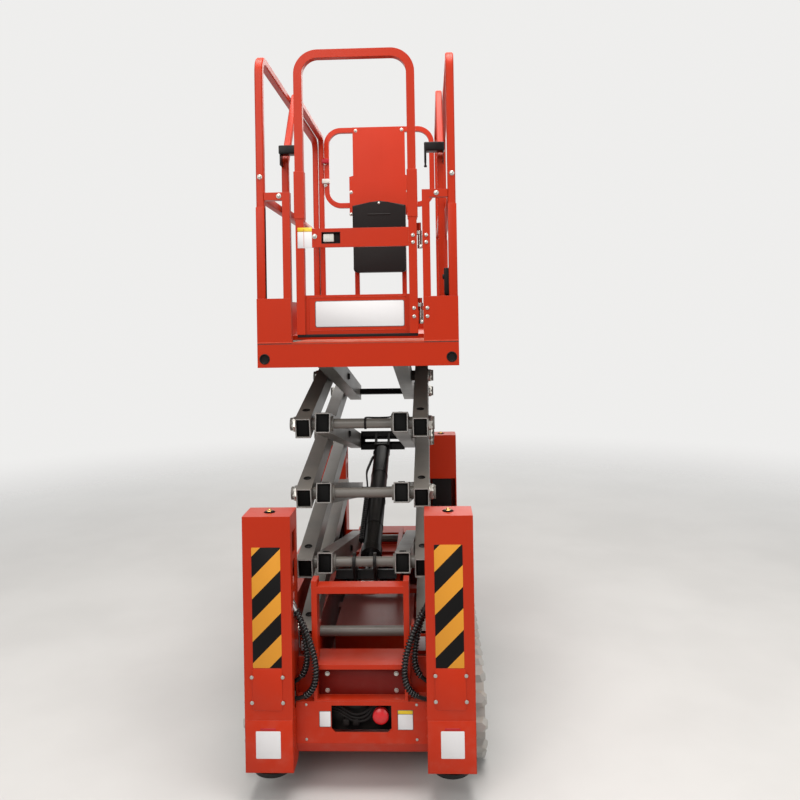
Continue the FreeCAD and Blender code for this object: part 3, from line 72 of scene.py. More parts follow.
class NodeSheet:
    """Short calls that add and wire nodes in one node tree."""

    def __init__(self, tree: bpy.types.NodeTree) -> None:
        """Keeps the tree to work on.

        Args:
            tree: A material's tree, a shader group or a geometry group.
        """
        self.tree = tree

    def add(self, kind: str, settings: Optional[dict] = None, **inputs: object) -> bpy.types.Node:
        """Adds a node, sets its own properties and fills or links its inputs.

        Args:
            kind: The node's type name.
            settings: Properties of the node itself, by name.
            **inputs: Input values or sockets to link; spaces in socket names are written as underscores.

        Returns:
            The new node.
        """
        node = self.tree.nodes.new(kind)
        for key, value in (settings or {}).items():
            setattr(node, key, value)
        for key, value in inputs.items():
            self.put(self.find(node, key), value)
        return node

    def find(self, node: bpy.types.Node, key: str) -> bpy.types.NodeSocket:
        """The node's enabled input of that name, or at that place when the key is like i0.

        Args:
            node: The node to look in.
            key: The socket's name with underscores, or i followed by its index.

        Returns:
            The input socket.
        """
        if key[0] == "i" and key[1:].isdigit():
            return node.inputs[int(key[1:])]
        name = key.replace("_", " ")
        for socket in node.inputs:
            if socket.name == name and socket.enabled:
                return socket
        raise KeyError(f"{node.bl_idname} has no input {name}")

    def put(self, socket: bpy.types.NodeSocket, value: object) -> None:
        """Links a socket into an input, or sets the input's value."""
        if isinstance(value, bpy.types.NodeSocket):
            self.tree.links.new(value, socket)
        else:
            socket.default_value = value

    def math(self, operation: str, *values: object) -> bpy.types.NodeSocket:
        """Adds a Math node on the given values and returns its output."""
        node = self.add("ShaderNodeMath", {"operation": operation})
        for socket, value in zip(node.inputs, values):
            self.put(socket, value)
        return node.outputs[0]

    def ramp(self, value: object, low: float, high: float) -> bpy.types.NodeSocket:
        """Maps low..high smoothly to 0..1 and returns the result."""
        node = self.add("ShaderNodeMapRange", {"interpolation_type": "SMOOTHSTEP"}, Value=value)
        node.inputs["From Min"].default_value = low
        node.inputs["From Max"].default_value = high
        return node.outputs[0]

    def blend(self, share: object, first: object, second: object) -> bpy.types.NodeSocket:
        """Mixes two colours by a share and returns the result."""
        node = self.add("ShaderNodeMix", {"data_type": "RGBA"})
        self.put(node.inputs[0], share)
        self.put(node.inputs[6], first)
        self.put(node.inputs[7], second)
        return node.outputs[2]

    def noise(self, scale: object, detail: float, stretch: Optional[Point] = None) -> bpy.types.NodeSocket:
        """Noise over the piece's own coordinates.

        Args:
            scale: Noise scale per metre.
            detail: Number of octaves.
            stretch: Scale of each axis, where the noise is longer one way.

        Returns:
            The noise value.
        """
        place = self.add("ShaderNodeTexCoord").outputs["Object"]
        if stretch:
            mapping = self.add("ShaderNodeMapping", Vector=place)
            mapping.inputs["Scale"].default_value = stretch
            place = mapping.outputs[0]
        return self.add("ShaderNodeTexNoise", Vector=place, Scale=scale, Detail=detail).outputs[0]


class SharedEffects:
    """Shader groups that several finishes use, each built once."""

    def __init__(self) -> None:
        """Builds the four groups."""
        self.grain = self._grain()
        self.wear = self._wear()
        self.dust = self._dust()
        self.shade = self._shade()

    @staticmethod
    def _group(name: str, inputs: Sequence[tuple[str, str, object]], outputs: Sequence[tuple[str, str]]
               ) -> tuple[NodeSheet, bpy.types.Node, bpy.types.Node]:
        """Starts a shader group with its sockets.

        Args:
            name: The group's name.
            inputs: Name, socket type and default of each input.
            outputs: Name and socket type of each output.

        Returns:
            The sheet of the new tree, its input node and its output node.
        """
        tree = bpy.data.node_groups.new(name, "ShaderNodeTree")
        for label, kind, default in inputs:
            socket = tree.interface.new_socket(name=label, in_out="INPUT", socket_type=kind)
            socket.default_value = default
        for label, kind in outputs:
            tree.interface.new_socket(name=label, in_out="OUTPUT", socket_type=kind)
        sheet = NodeSheet(tree)
        return sheet, sheet.add("NodeGroupInput"), sheet.add("NodeGroupOutput")

    def _grain(self) -> bpy.types.NodeTree:
        """Fine relief of a sprayed or moulded surface, with slow waves under it."""
        sheet, given, out = self._group(
            "fine_grain", [("Scale", "NodeSocketFloat", 400.0), ("Waves", "NodeSocketFloat", 0.4)],
            [("Height", "NodeSocketFloat")])
        fine = sheet.noise(given.outputs["Scale"], 2.0)
        slow = sheet.noise(14.0, 2.0)
        slow = sheet.math("MULTIPLY", slow, given.outputs["Waves"])
        sheet.put(out.inputs[0], sheet.math("ADD", fine, slow))
        return sheet.tree

    def _wear(self) -> bpy.types.NodeTree:
        """Rubbed edges: the rounded normal, and a mask that follows edges broken up by noise."""
        sheet, given, out = self._group(
            "edge_wear",
            [("Paint", "NodeSocketColor", (1, 1, 1, 1)), ("Under", "NodeSocketColor", (0.5, 0.5, 0.5, 1)),
             ("Amount", "NodeSocketFloat", 0.3), ("Radius", "NodeSocketFloat", 0.0015)],
            [("Color", "NodeSocketColor"), ("Mask", "NodeSocketFloat"), ("Normal", "NodeSocketVector")])
        bevel = sheet.add("ShaderNodeBevel", {"samples": 4}, Radius=given.outputs["Radius"])
        face = sheet.add("ShaderNodeNewGeometry")
        dot = sheet.add("ShaderNodeVectorMath", {"operation": "DOT_PRODUCT"})
        sheet.put(dot.inputs[0], bevel.outputs[0])
        sheet.put(dot.inputs[1], face.outputs["Normal"])
        edge = sheet.ramp(sheet.math("SUBTRACT", 1.0, dot.outputs["Value"]), 0.01, 0.16)
        chips = sheet.ramp(sheet.noise(34.0, 6.0), 0.42, 0.66)
        scuffs = sheet.ramp(sheet.noise(9.0, 9.0), 0.68, 0.80)
        mask = sheet.math("MULTIPLY", edge, sheet.math("ADD", chips, 0.25))
        mask = sheet.math("ADD", mask, sheet.math("MULTIPLY", scuffs, 0.12))
        mask = sheet.math("MINIMUM", sheet.math("MULTIPLY", mask, given.outputs["Amount"]), 1.0)
        colour = sheet.blend(mask, given.outputs["Paint"], given.outputs["Under"])
        for socket, value in zip(out.inputs, (colour, mask, bevel.outputs[0])):
            sheet.put(socket, value)
        return sheet.tree

    def _dust(self) -> bpy.types.NodeTree:
        """Pale dust that settles on faces that look up and near the ground."""
        sheet, given, out = self._group(
            "settled_dust",
            [("Surface", "NodeSocketColor", (1, 1, 1, 1)), ("Dust", "NodeSocketColor", (0.42, 0.36, 0.29, 1)),
             ("Amount", "NodeSocketFloat", 0.2)],
            [("Color", "NodeSocketColor"), ("Mask", "NodeSocketFloat")])
        face = sheet.add("ShaderNodeNewGeometry")
        normal = sheet.add("ShaderNodeSeparateXYZ", Vector=face.outputs["Normal"])
        place = sheet.add("ShaderNodeSeparateXYZ", Vector=sheet.add("ShaderNodeTexCoord").outputs["Object"])
        upward = sheet.ramp(normal.outputs[2], 0.55, 1.0)
        low = sheet.math("SUBTRACT", 1.0, sheet.ramp(place.outputs[2], 0.02, 0.42))
        settled = sheet.math("MULTIPLY", upward, sheet.ramp(sheet.noise(7.0, 7.0), 0.25, 0.75))
        splash = sheet.math("MULTIPLY", low, sheet.ramp(sheet.noise(26.0, 8.0), 0.42, 0.78))
        mask = sheet.math("ADD", settled, sheet.math("MULTIPLY", splash, 0.8))
        mask = sheet.math("MINIMUM", sheet.math("MULTIPLY", mask, given.outputs["Amount"]), 1.0)
        sheet.put(out.inputs[0], sheet.blend(mask, given.outputs["Surface"], given.outputs["Dust"]))
        sheet.put(out.inputs[1], mask)
        return sheet.tree

    def _shade(self) -> bpy.types.NodeTree:
        """Slow changes of tone with faint streaks that run down."""
        sheet, given, out = self._group(
            "tone_change",
            [("Base", "NodeSocketColor", (1, 1, 1, 1)), ("Darker", "NodeSocketColor", (0.8, 0.8, 0.8, 1)),
             ("Amount", "NodeSocketFloat", 0.3)],
            [("Color", "NodeSocketColor"), ("Value", "NodeSocketFloat")])
        cloud = sheet.ramp(sheet.noise(4.5, 5.0), 0.30, 0.72)
        streak = sheet.ramp(sheet.noise(30.0, 5.0, (1.0, 1.0, 0.08)), 0.40, 0.80)
        value = sheet.math("ADD", sheet.math("MULTIPLY", cloud, 0.65), sheet.math("MULTIPLY", streak, 0.35))
        share = sheet.math("MULTIPLY", value, given.outputs["Amount"])
        sheet.put(out.inputs[0], sheet.blend(share, given.outputs["Base"], given.outputs["Darker"]))
        sheet.put(out.inputs[1], value)
        return sheet.tree


@dataclass(frozen=True)
class Finish:
    """A painted, moulded or plated surface.

    Attributes:
        name: Name of the material.
        colour: Main colour.
        roughness: Roughness where it is clean.
        metallic: 1 for bare metal.
        under: Colour that shows where the surface is rubbed.
        wear: How strongly edges are rubbed.
        dust: How much dust lies on it.
        tone: How strongly its tone changes.
        grain: Scale of its fine relief, per metre.
        relief: Depth of its fine relief in metres.
        rounding: Radius by which its edges look rounded.
        slot: The record's material slot it belongs to; not used.
        specular: Level of its mirror-like shine.
    """

    name: str
    colour: Colour
    roughness: float = 0.4
    metallic: float = 0.0
    under: Colour = (0.55, 0.50, 0.46)
    wear: float = 0.3
    dust: float = 0.2
    tone: float = 0.35
    grain: float = 420.0
    relief: float = 0.00006
    rounding: float = 0.0018
    slot: str = ""
    specular: float = 0.25

    def start(self) -> tuple[bpy.types.Material, NodeSheet, bpy.types.Node]:
        """Makes an empty material with its surface shader.

        Returns:
            The material, the sheet of its tree and its surface shader.
        """
        material = bpy.data.materials.new(self.name)
        material.use_nodes = True
        material.diffuse_color = (*self.colour, 1.0)
        sheet = NodeSheet(material.node_tree)
        surface = material.node_tree.nodes["Principled BSDF"]
        surface.inputs["Metallic"].default_value = self.metallic
        surface.inputs["Specular IOR Level"].default_value = self.specular
        return material, sheet, surface

    def base(self, sheet: NodeSheet) -> object:
        """The clean colour before wear and dust."""
        return (*self.colour, 1.0)

    def extra_height(self, sheet: NodeSheet) -> Optional[bpy.types.NodeSocket]:
        """Relief beyond the fine grain, or None."""
        return None

    def build(self, effects: SharedEffects) -> bpy.types.Material:
        """Builds the material with shared tone, wear, dust and grain.

        Args:
            effects: The shared shader groups.

        Returns:
            The material.
        """
        material, sheet, surface = self.start()
        base = self.base(sheet)
        tone = sheet.add("ShaderNodeGroup", {"node_tree": effects.shade}, Base=base, Amount=self.tone)
        sheet.put(tone.inputs["Darker"], sheet.blend(DARKER_SHARE, (0.0, 0.0, 0.0, 1.0), base))
        wear = sheet.add("ShaderNodeGroup", {"node_tree": effects.wear}, Paint=tone.outputs[0],
                         Under=(*self.under, 1.0), Amount=self.wear, Radius=self.rounding)
        dust = sheet.add("ShaderNodeGroup", {"node_tree": effects.dust}, Surface=wear.outputs[0],
                         Amount=self.dust)
        grain = sheet.add("ShaderNodeGroup", {"node_tree": effects.grain}, Scale=self.grain)
        height = grain.outputs[0]
        extra = self.extra_height(sheet)
        if extra is not None:
            height = sheet.math("ADD", height, extra)
        bump = sheet.add("ShaderNodeBump", Height=height, Distance=self.relief, Normal=wear.outputs["Normal"])
        rough = sheet.math("MULTIPLY_ADD", tone.outputs["Value"], 0.10, self.roughness - 0.05)
        rough = sheet.math("MULTIPLY_ADD", dust.outputs["Mask"], 0.45, rough)
        rough = sheet.math("MULTIPLY_ADD", wear.outputs["Mask"], 0.15, rough)
        sheet.put(surface.inputs["Base Color"], dust.outputs[0])
        sheet.put(surface.inputs["Roughness"], rough)
        sheet.put(surface.inputs["Normal"], bump.outputs[0])
        return material


@dataclass(frozen=True)
class StripedFinish(Finish):
    """Slanted warning stripes of two colours.

    Attributes:
        second: The other colour.
        width: Height of one stripe along an upright edge.
        start_at: Place of one edge of a dark stripe, as height less distance to the right.
        lean: 1 where the stripes rise to the right, -1 where they rise to the left.
    """

    second: Colour = (0.006, 0.0055, 0.0055)
    width: float = 0.066
    start_at: float = 0.0
    lean: float = 1.0

    def base(self, sheet: NodeSheet) -> object:
        """The stripes, from the piece's own coordinates."""
        place = sheet.add("ShaderNodeSeparateXYZ", Vector=sheet.add("ShaderNodeTexCoord").outputs["Object"])
        across = sheet.math("MULTIPLY", place.outputs[0], self.lean)
        slant = sheet.math("SUBTRACT", place.outputs[2], across)
        phase = sheet.math("DIVIDE", sheet.math("SUBTRACT", self.start_at, slant), 2 * self.width)
        dark = sheet.math("LESS_THAN", sheet.math("FRACT", phase), 0.5)
        return sheet.blend(dark, (*self.colour, 1.0), (*self.second, 1.0))


@dataclass(frozen=True)
class TreadFinish(Finish):
    """A floor with raised anti-slip bars that cross each other.

    Attributes:
        pitch: Distance between bars.
        height: Their height, in depths of the fine relief.
    """

    pitch: float = 0.024
    height: float = 12.0

    def extra_height(self, sheet: NodeSheet) -> Optional[bpy.types.NodeSocket]:
        """Short bars set alternately both ways."""
        place = sheet.add("ShaderNodeTexCoord").outputs["Object"]
        bars = []
        for turn in (0.785, -0.785):
            mapping = sheet.add("ShaderNodeMapping", Vector=place)
            mapping.inputs["Rotation"].default_value = (0, 0, turn)
            part = sheet.add("ShaderNodeSeparateXYZ", Vector=mapping.outputs[0])
            waves = [sheet.math("SINE", sheet.math("MULTIPLY", way, math.pi / self.pitch))
                     for way in part.outputs[:2]]
            along, over = [sheet.math("ABSOLUTE", wave) for wave in waves]
            bars.append(sheet.math("MULTIPLY", sheet.ramp(along, 0.86, 0.97), sheet.ramp(over, 0.35, 0.6)))
        return sheet.math("MULTIPLY", sheet.math("MAXIMUM", *bars), self.height)


@dataclass(frozen=True)
class ClearFinish(Finish):
    """A see-through plastic sheet with faint rub marks."""

    def build(self, effects: SharedEffects) -> bpy.types.Material:
        """Builds the sheet as a thin clear layer that still mirrors its surroundings."""
        material, sheet, surface = self.start()
        haze = sheet.ramp(sheet.noise(60.0, 6.0, (1.0, 1.0, 0.15)), 0.45, 0.85)
        surface.inputs["Base Color"].default_value = (*self.colour, 1.0)
        surface.inputs["IOR"].default_value = 1.49
        sheet.put(surface.inputs["Roughness"], sheet.math("MULTIPLY_ADD", haze, 0.18, self.roughness))
        sheet.put(surface.inputs["Alpha"], sheet.math("MULTIPLY_ADD", haze, 0.04, 0.03))
        return material


class Paint(Enum):
    """Every finish on the machine."""

    RED = Finish("lift_red_paint", (0.455, 0.0250, 0.0045), 0.36, wear=0.16, dust=0.10, tone=0.18,
                 under=(0.62, 0.17, 0.08), slot="red_paint", specular=0.2)
    # Deep red for the plate on each pocket's back: painted shade under the shelf.
    POCKET_SHADE_RED = Finish("painted_pocket_shade_red", (0.155, 0.009, 0.006), 0.45, wear=0.15, dust=0.12,
                      slot="red_paint", specular=0.15)
    ARM_GREY = Finish("arm_grey_paint", (0.158, 0.148, 0.134), 0.36, wear=0.40, dust=0.20, tone=0.45,
                      under=(0.40, 0.40, 0.38), slot="arm_grey", specular=0.4)
    CUT_EDGE = Finish("worn_tube_edge", (0.40, 0.39, 0.38), 0.36, wear=0.2, dust=0.1, slot="arm_grey")
    BLACK = Finish("black_steel_paint", (0.0085, 0.0082, 0.0085), 0.34, wear=0.20, dust=0.07,
                   under=(0.07, 0.07, 0.07), slot="black_paint", specular=0.16)
    # Near-black: the black plugs, and painted shade in the arm-end recesses and at the leg-top holes.
    BLACK_PLUG_AND_SHADE = Finish("black_plastic_and_painted_shade", (0.004, 0.004, 0.004), 0.6, wear=0.0, dust=0.02, specular=0.08)
    RUBBER = Finish("track_light_rubber", (0.43, 0.425, 0.405), 0.72, wear=0.30, dust=0.55, tone=0.6,
                    grain=260.0, relief=0.00025, under=(0.50, 0.49, 0.46), slot="track_rubber")
    PLASTIC = Finish("black_moulded_plastic", (0.0125, 0.0105, 0.0105), 0.46, wear=0.12, dust=0.07,
                     grain=900.0, relief=0.00008, under=(0.05, 0.05, 0.05), rounding=0.003,
                     slot="black_plastic", specular=0.12)
    BUTTON = Finish("stop_button_plastic", (0.60, 0.006, 0.012), 0.28, wear=0.05, dust=0.06,
                    slot="button_red", specular=0.5)
    CLEAR = ClearFinish("clear_screen_plastic", (0.13, 0.12, 0.12), 0.05, specular=0.12)
    HOSE = Finish("hose_rubber_skin", (0.010, 0.010, 0.010), 0.45, wear=0.1, dust=0.08, grain=700.0,
                  relief=0.0001, under=(0.05, 0.05, 0.05), slot="hose_rubber")
    GUARD = Finish("hose_guard_plastic", (0.007, 0.007, 0.0075), 0.24, wear=0.0, dust=0.03, tone=0.1,
                   slot="black_plastic", specular=0.55)
    ZINC = Finish("zinc_plated_steel", (0.46, 0.45, 0.42), 0.32, metallic=1.0, wear=0.3, dust=0.08, tone=0.5,
                  under=(0.72, 0.72, 0.70), rounding=0.0006, relief=0.00003, slot="zinc")
    CHROME = Finish("polished_rod", (0.72, 0.72, 0.73), 0.10, metallic=1.0, wear=0.0, dust=0.05, tone=0.15,
                    relief=0.00001, slot="chrome_rod")
    BRASS = Finish("brass_fitting", (0.62, 0.40, 0.14), 0.32, metallic=1.0, wear=0.2, dust=0.1,
                   rounding=0.0006)
    TREAD = TreadFinish("dark_tread_floor", (0.045, 0.044, 0.043), 0.50, wear=0.4, dust=0.35, relief=0.0001,
                        under=(0.2, 0.2, 0.2), slot="tread_plate")
    # Pale rubbed red: real wear on lips and beads, and a painted highlight along these edges.
    RUBBED_RED_AND_HIGHLIGHT = Finish("rubbed_red_and_painted_highlight", (0.55, 0.055, 0.025), 0.42, wear=0.5, dust=0.15, tone=0.5,
                        under=(0.62, 0.26, 0.17), slot="red_paint", specular=0.08)
    # Pale salmon red: red tread with a painted sheen of the sky's reflection at a grazing view.
    RED_TREAD_SHEEN = TreadFinish("red_tread_and_painted_sheen", (0.50, 0.100, 0.058), 0.50, wear=0.35, dust=0.1, relief=0.0001,
                            under=(0.6, 0.2, 0.13), specular=0.03)
    SIGN = Finish("white_sign_film", (0.66, 0.655, 0.67), 0.34, wear=0.05, dust=0.08, tone=0.12,
                  relief=0.00001, rounding=0.0003)
    SIGN_EDGE = Finish("sign_edge_film", (0.11, 0.11, 0.11), 0.40, wear=0.05, dust=0.05, relief=0.00001)
    SIGN_YELLOW = Finish("yellow_sign_film", (0.72, 0.50, 0.03), 0.32, wear=0.05, dust=0.06, relief=0.00001)
    SIGN_RED = Finish("red_sign_film", (0.42, 0.01, 0.02), 0.32, wear=0.05, dust=0.05, relief=0.00001)
    WHITE = Finish("white_moulded_plastic", (0.66, 0.66, 0.62), 0.40, wear=0.05, dust=0.1, grain=900.0,
                   relief=0.00003, rounding=0.001)
    BRAID = Finish("braided_steel_sleeve", (0.42, 0.42, 0.42), 0.38, metallic=1.0, wear=0.0, dust=0.05,
                   grain=1400.0, relief=0.0004)
    STRIPES_LEFT = StripedFinish("stripes_left", (0.64, 0.275, 0.032), 0.38, wear=0.06, dust=0.02, tone=0.12,
                                 relief=0.00002, rounding=0.0003, start_at=1.094, specular=0.1)
    STRIPES_RIGHT = StripedFinish("stripes_right", (0.64, 0.275, 0.032), 0.38, wear=0.06, dust=0.02,
                                  tone=0.12, relief=0.00002, rounding=0.0003, start_at=0.479, specular=0.1)

    @property
    def material(self) -> bpy.types.Material:
        """The built material of this finish."""
        return bpy.data.materials[self.value.name]

    @classmethod
    def mix_all(cls) -> None:
        """Builds the material of every finish."""
        effects = SharedEffects()
        for paint in cls:
            paint.value.build(effects)


def rounded_path(points: Sequence[Point], bend: float, steps: int = 7) -> list[Vector]:
    """Rounds the corners of a path.

    Args:
        points: Its corners.
        bend: Radius of each bend.
        steps: Points along each bend.

    Returns:
        The points of the rounded path.
    """
    corners = [Vector(point) for point in points]
    line = [corners[0]]
    for before, corner, after in zip(corners, corners[1:], corners[2:]):
        back, ahead = (before - corner).normalized(), (after - corner).normalized()
        reach = bend * math.tan((math.pi - back.angle(ahead)) / 2)
        for step in range(steps + 1):
            share = step / steps
            line.append(corner + back * reach * (1 - share) ** 2 + ahead * reach * share ** 2)
    line.append(corners[-1])
    return line


def smooth_line(points: Sequence[Point], steps: int = 8) -> list[Vector]:
    """A smooth line that passes through points.

    Args:
        points: The points it passes through.
        steps: Parts between two points.

    Returns:
        The points of the smooth line.
    """
    given = [Vector(point) for point in points]
    given = [given[0] * 2 - given[1], *given, given[-1] * 2 - given[-2]]
    line = []
    for before, start, end, after in zip(given, given[1:], given[2:], given[3:]):
        for step in range(steps):
            t = step / steps
            bow = 2 * before - 5 * start + 4 * end - after
            line.append(0.5 * (2 * start + (end - before) * t + bow * t * t
                               + (3 * start - before - 3 * end + after) * t ** 3))
    line.append(given[-2])
    return line


def circle(centre: Point, radius: float, first: Point, second: Point, parts: int,
           steps: Optional[int] = None) -> list[Vector]:
    """Points round a circle.

    Args:
        centre: Its middle.
        radius: Its radius.
        first: Direction of the first point.
        second: Direction of the point a quarter turn on.
        parts: Steps of a whole turn.
        steps: Steps to take; a whole turn where it is left out.

    Returns:
        The points, one more than the steps.
    """
    angles = [2 * math.pi * step / parts for step in range((parts if steps is None else steps) + 1)]
    return [Vector(centre) + (Vector(first) * math.cos(angle) + Vector(second) * math.sin(angle)) * radius
            for angle in angles]


class Shaper:
    """Collects the faces of one piece and turns them into an object at the origin."""

    def __init__(self, name: str) -> None:
        """Starts an empty piece.

        Args:
            name: Name of the piece.
        """
        self.name = name
        self.mesh = bmesh.new()

    def skin(self, rings: Sequence[Sequence[bmesh.types.BMVert]]) -> "Shaper":
        """Joins rings of corners with faces and closes both ends.

        Args:
            rings: The rings in order, all with the same number of corners.

        Returns:
            The shaper itself.
        """
        for first, second in zip(rings, rings[1:]):
            for step in range(len(first)):
                after = (step + 1) % len(first)
                self.mesh.faces.new((first[step], first[after], second[after], second[step]))
        self.mesh.faces.new(list(reversed(rings[0])))
        self.mesh.faces.new(rings[-1])
        return self

    def block(self, corner: Point, opposite: Point, rounding: float = 0.0, segments: int = 2) -> "Shaper":
        """Adds a box, its edges rounded.

        Args:
            corner: One corner.
            opposite: The corner opposite to it.
            rounding: Radius of its edges.
            segments: Steps across each rounded edge.

        Returns:
            The shaper itself.
        """
        centre = (Vector(corner) + Vector(opposite)) / 2
        size = [abs(far - near) for near, far in zip(corner, opposite)]
        place = Matrix.Translation(centre) @ Matrix.Diagonal((*size, 1.0))
        made = bmesh.ops.create_cube(self.mesh, size=1.0, matrix=place)
        if rounding:
            edges = list({edge for vertex in made["verts"] for edge in vertex.link_edges})
            bmesh.ops.bevel(self.mesh, geom=edges, offset=rounding, segments=segments, affect="EDGES",
                            profile=0.5)
        return self

    def turned(self, centre: Point, axis: Point, outline: Outline, sides: int) -> "Shaper":
        """Adds a closed shape turned round an axis.

        Args:
            centre: Where distances along the axis start.
            axis: Direction of the axis.
            outline: Distance along the axis and radius of each ring.
            sides: Number of facets.

        Returns:
            The shaper itself.
        """
        turn = Vector(axis).to_track_quat("Z", "Y").to_matrix().to_4x4()
        place = Matrix.Translation(Vector(centre)) @ turn
        return self.skin([[self.mesh.verts.new(place @ spot)
                           for spot in circle((0, 0, along), radius, ACROSS, ALONG, sides, sides - 1)]
                          for along, radius in outline])

    def plate(self, centre: Point, across: Point, up: Point, half: tuple[float, float], corner: float,
              thick: float) -> "Shaper":
        """Adds a thin plate with rounded corners, its back on the given plane.

        Args:
            centre: Middle of the plate's back.
            across: Direction of its width.
            up: Direction of its height; the plate faces across x up.
            half: Half its width and half its height.
            corner: Radius of its corners.
            thick: Its thickness.

        Returns:
            The shaper itself.
        """
        side, rise = Vector(across).normalized(), Vector(up).normalized()
        out = side.cross(rise)
        rim = []
        for quarter in range(4):
            base = math.pi / 2 * quarter
            turn_x = (half[0] - corner) * (1 if quarter in (0, 3) else -1)
            turn_y = (half[1] - corner) * (1 if quarter in (0, 1) else -1)
            for step in range(5):
                angle = base + math.pi / 8 * step
                rim.append((turn_x + corner * math.cos(angle), turn_y + corner * math.sin(angle)))
        layers = []
        for inset, depth in ((0.0, 0.0), (0.0, thick * 0.7), (thick * 0.3, thick)):
            layer = []
            for x, y in rim:
                u, v = x - math.copysign(inset, x), y - math.copysign(inset, y)
                layer.append(self.mesh.verts.new(Vector(centre) + side * u + rise * v + out * depth))
            layers.append(layer)
        return self.skin(layers)

    def pipe(self, points: Sequence[Point], radius: float, sides: int) -> "Shaper":
        """Adds a round tube along points, closed at both ends.

        Args:
            points: The line it follows.
            radius: Its radius.
            sides: Number of facets.

        Returns:
            The shaper itself.
        """
        line = [Vector(point) for point in points]
        rings = []
        normal = None
        for index, spot in enumerate(line):
            ahead = line[min(index + 1, len(line) - 1)] - line[max(index - 1, 0)]
            ahead.normalize()
            if normal is None:
                normal = ahead.orthogonal().normalized()
            normal = (normal - ahead * normal.dot(ahead)).normalized()
            rings.append([self.mesh.verts.new(corner)
                          for corner in circle(spot, radius, normal, ahead.cross(normal), sides, sides - 1)])
        return self.skin(rings)

    def square_tube(self, points: Sequence[Point], half: float, bend: float,
                    corner: float = 0.0035) -> "Shaper":
        """Adds a square tube along a path that lies across the machine's length.

        Args:
            points: The path's corners, all at one X.
            half: Half the tube's width.
            bend: Radius of its bends.
            corner: Width of its rounded edges.

        Returns:
            The shaper itself.
        """
        line = rounded_path(points, bend)
        flat = half - corner
        outline = ((half, flat), (flat, half), (-flat, half), (-half, flat), (-half, -flat), (-flat, -half),
                   (flat, -half), (half, -flat))
        rings = []
        for index, spot in enumerate(line):
            first_leg, last_leg = max(index - 1, 0), min(index, len(line) - 2)
            before = (line[first_leg + 1] - line[first_leg]).normalized()
            after = (line[last_leg + 1] - line[last_leg]).normalized()
            ahead = (before + after).normalized()
            out = Vector((1.0, 0.0, 0.0)).cross(ahead) / max(ahead.dot(after), 0.5)
            rings.append([self.mesh.verts.new(spot + Vector((u, 0.0, 0.0)) + out * v) for u, v in outline])
        return self.skin(rings)

    def finish(self, paint: Paint, body: str, smooth_below: float = 40.0) -> bpy.types.Object:
        """Makes the object, gives it its finish and lets it ride on a body.

        Args:
            paint: Its finish.
            body: The body it moves with.
            smooth_below: Edges flatter than this angle are shaded smooth.

        Returns:
            The new object.
        """
        bmesh.ops.remove_doubles(self.mesh, verts=self.mesh.verts, dist=1e-6)
        bmesh.ops.recalc_face_normals(self.mesh, faces=self.mesh.faces)
        data = bpy.data.meshes.new(self.name)
        self.mesh.to_mesh(data)
        self.mesh.free()
        return seat(data, self.name, paint, body, smooth_below)


def seat(data: bpy.types.Mesh, name: str, paint: Paint, body: str, smooth_below: float) -> bpy.types.Object:
    """Links a mesh as a piece that rides on a body.

    Args:
        data: The mesh, in place.
        name: Name of the piece.
        paint: Its finish.
        body: The body it moves with.
        smooth_below: Edges flatter than this angle are shaded smooth.

    Returns:
        The new object.
    """
    data.materials.clear()
    data.materials.append(paint.material)
    piece = bpy.data.objects.new(name, data)
    bpy.context.scene.collection.objects.link(piece)
    data.shade_smooth()
    data.set_sharp_from_angle(angle=math.radians(smooth_below))
    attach(piece, body)
    return piece


@dataclass(frozen=True)
class Head:
    """Sizes of one kind of fastener head.

    Attributes:
        sides: Facets of the head: 6 for a hex head.
        radius: Radius of the head.
        height: Height of the head.
        crown: Share of the radius left at the top.
        washer: Radius of the washer under it, or 0.
        washer_thick: Thickness of that washer.
    """

    sides: int
    radius: float
    height: float
    crown: float = 0.6
    washer: float = 0.0
    washer_thick: float = 0.0012


class Fastener(Enum):
    """The kinds of fastener that show."""

    PAN_SCREW = Head(14, 0.0058, 0.0034, 0.55)
    RIVET = Head(12, 0.0042, 0.0022, 0.5)
    HEX_SMALL = Head(6, 0.0062, 0.0048, 0.86, 0.0074)
    POST_BOLT = Head(14, 0.0066, 0.0042, 0.60, 0.0080, 0.0012)
    HEX_LARGE = Head(6, 0.0120, 0.0085, 0.88, 0.0160, 0.002)
    ARM_NUT = Head(6, 0.0262, 0.0150, 0.92, 0.0275, 0.0022)


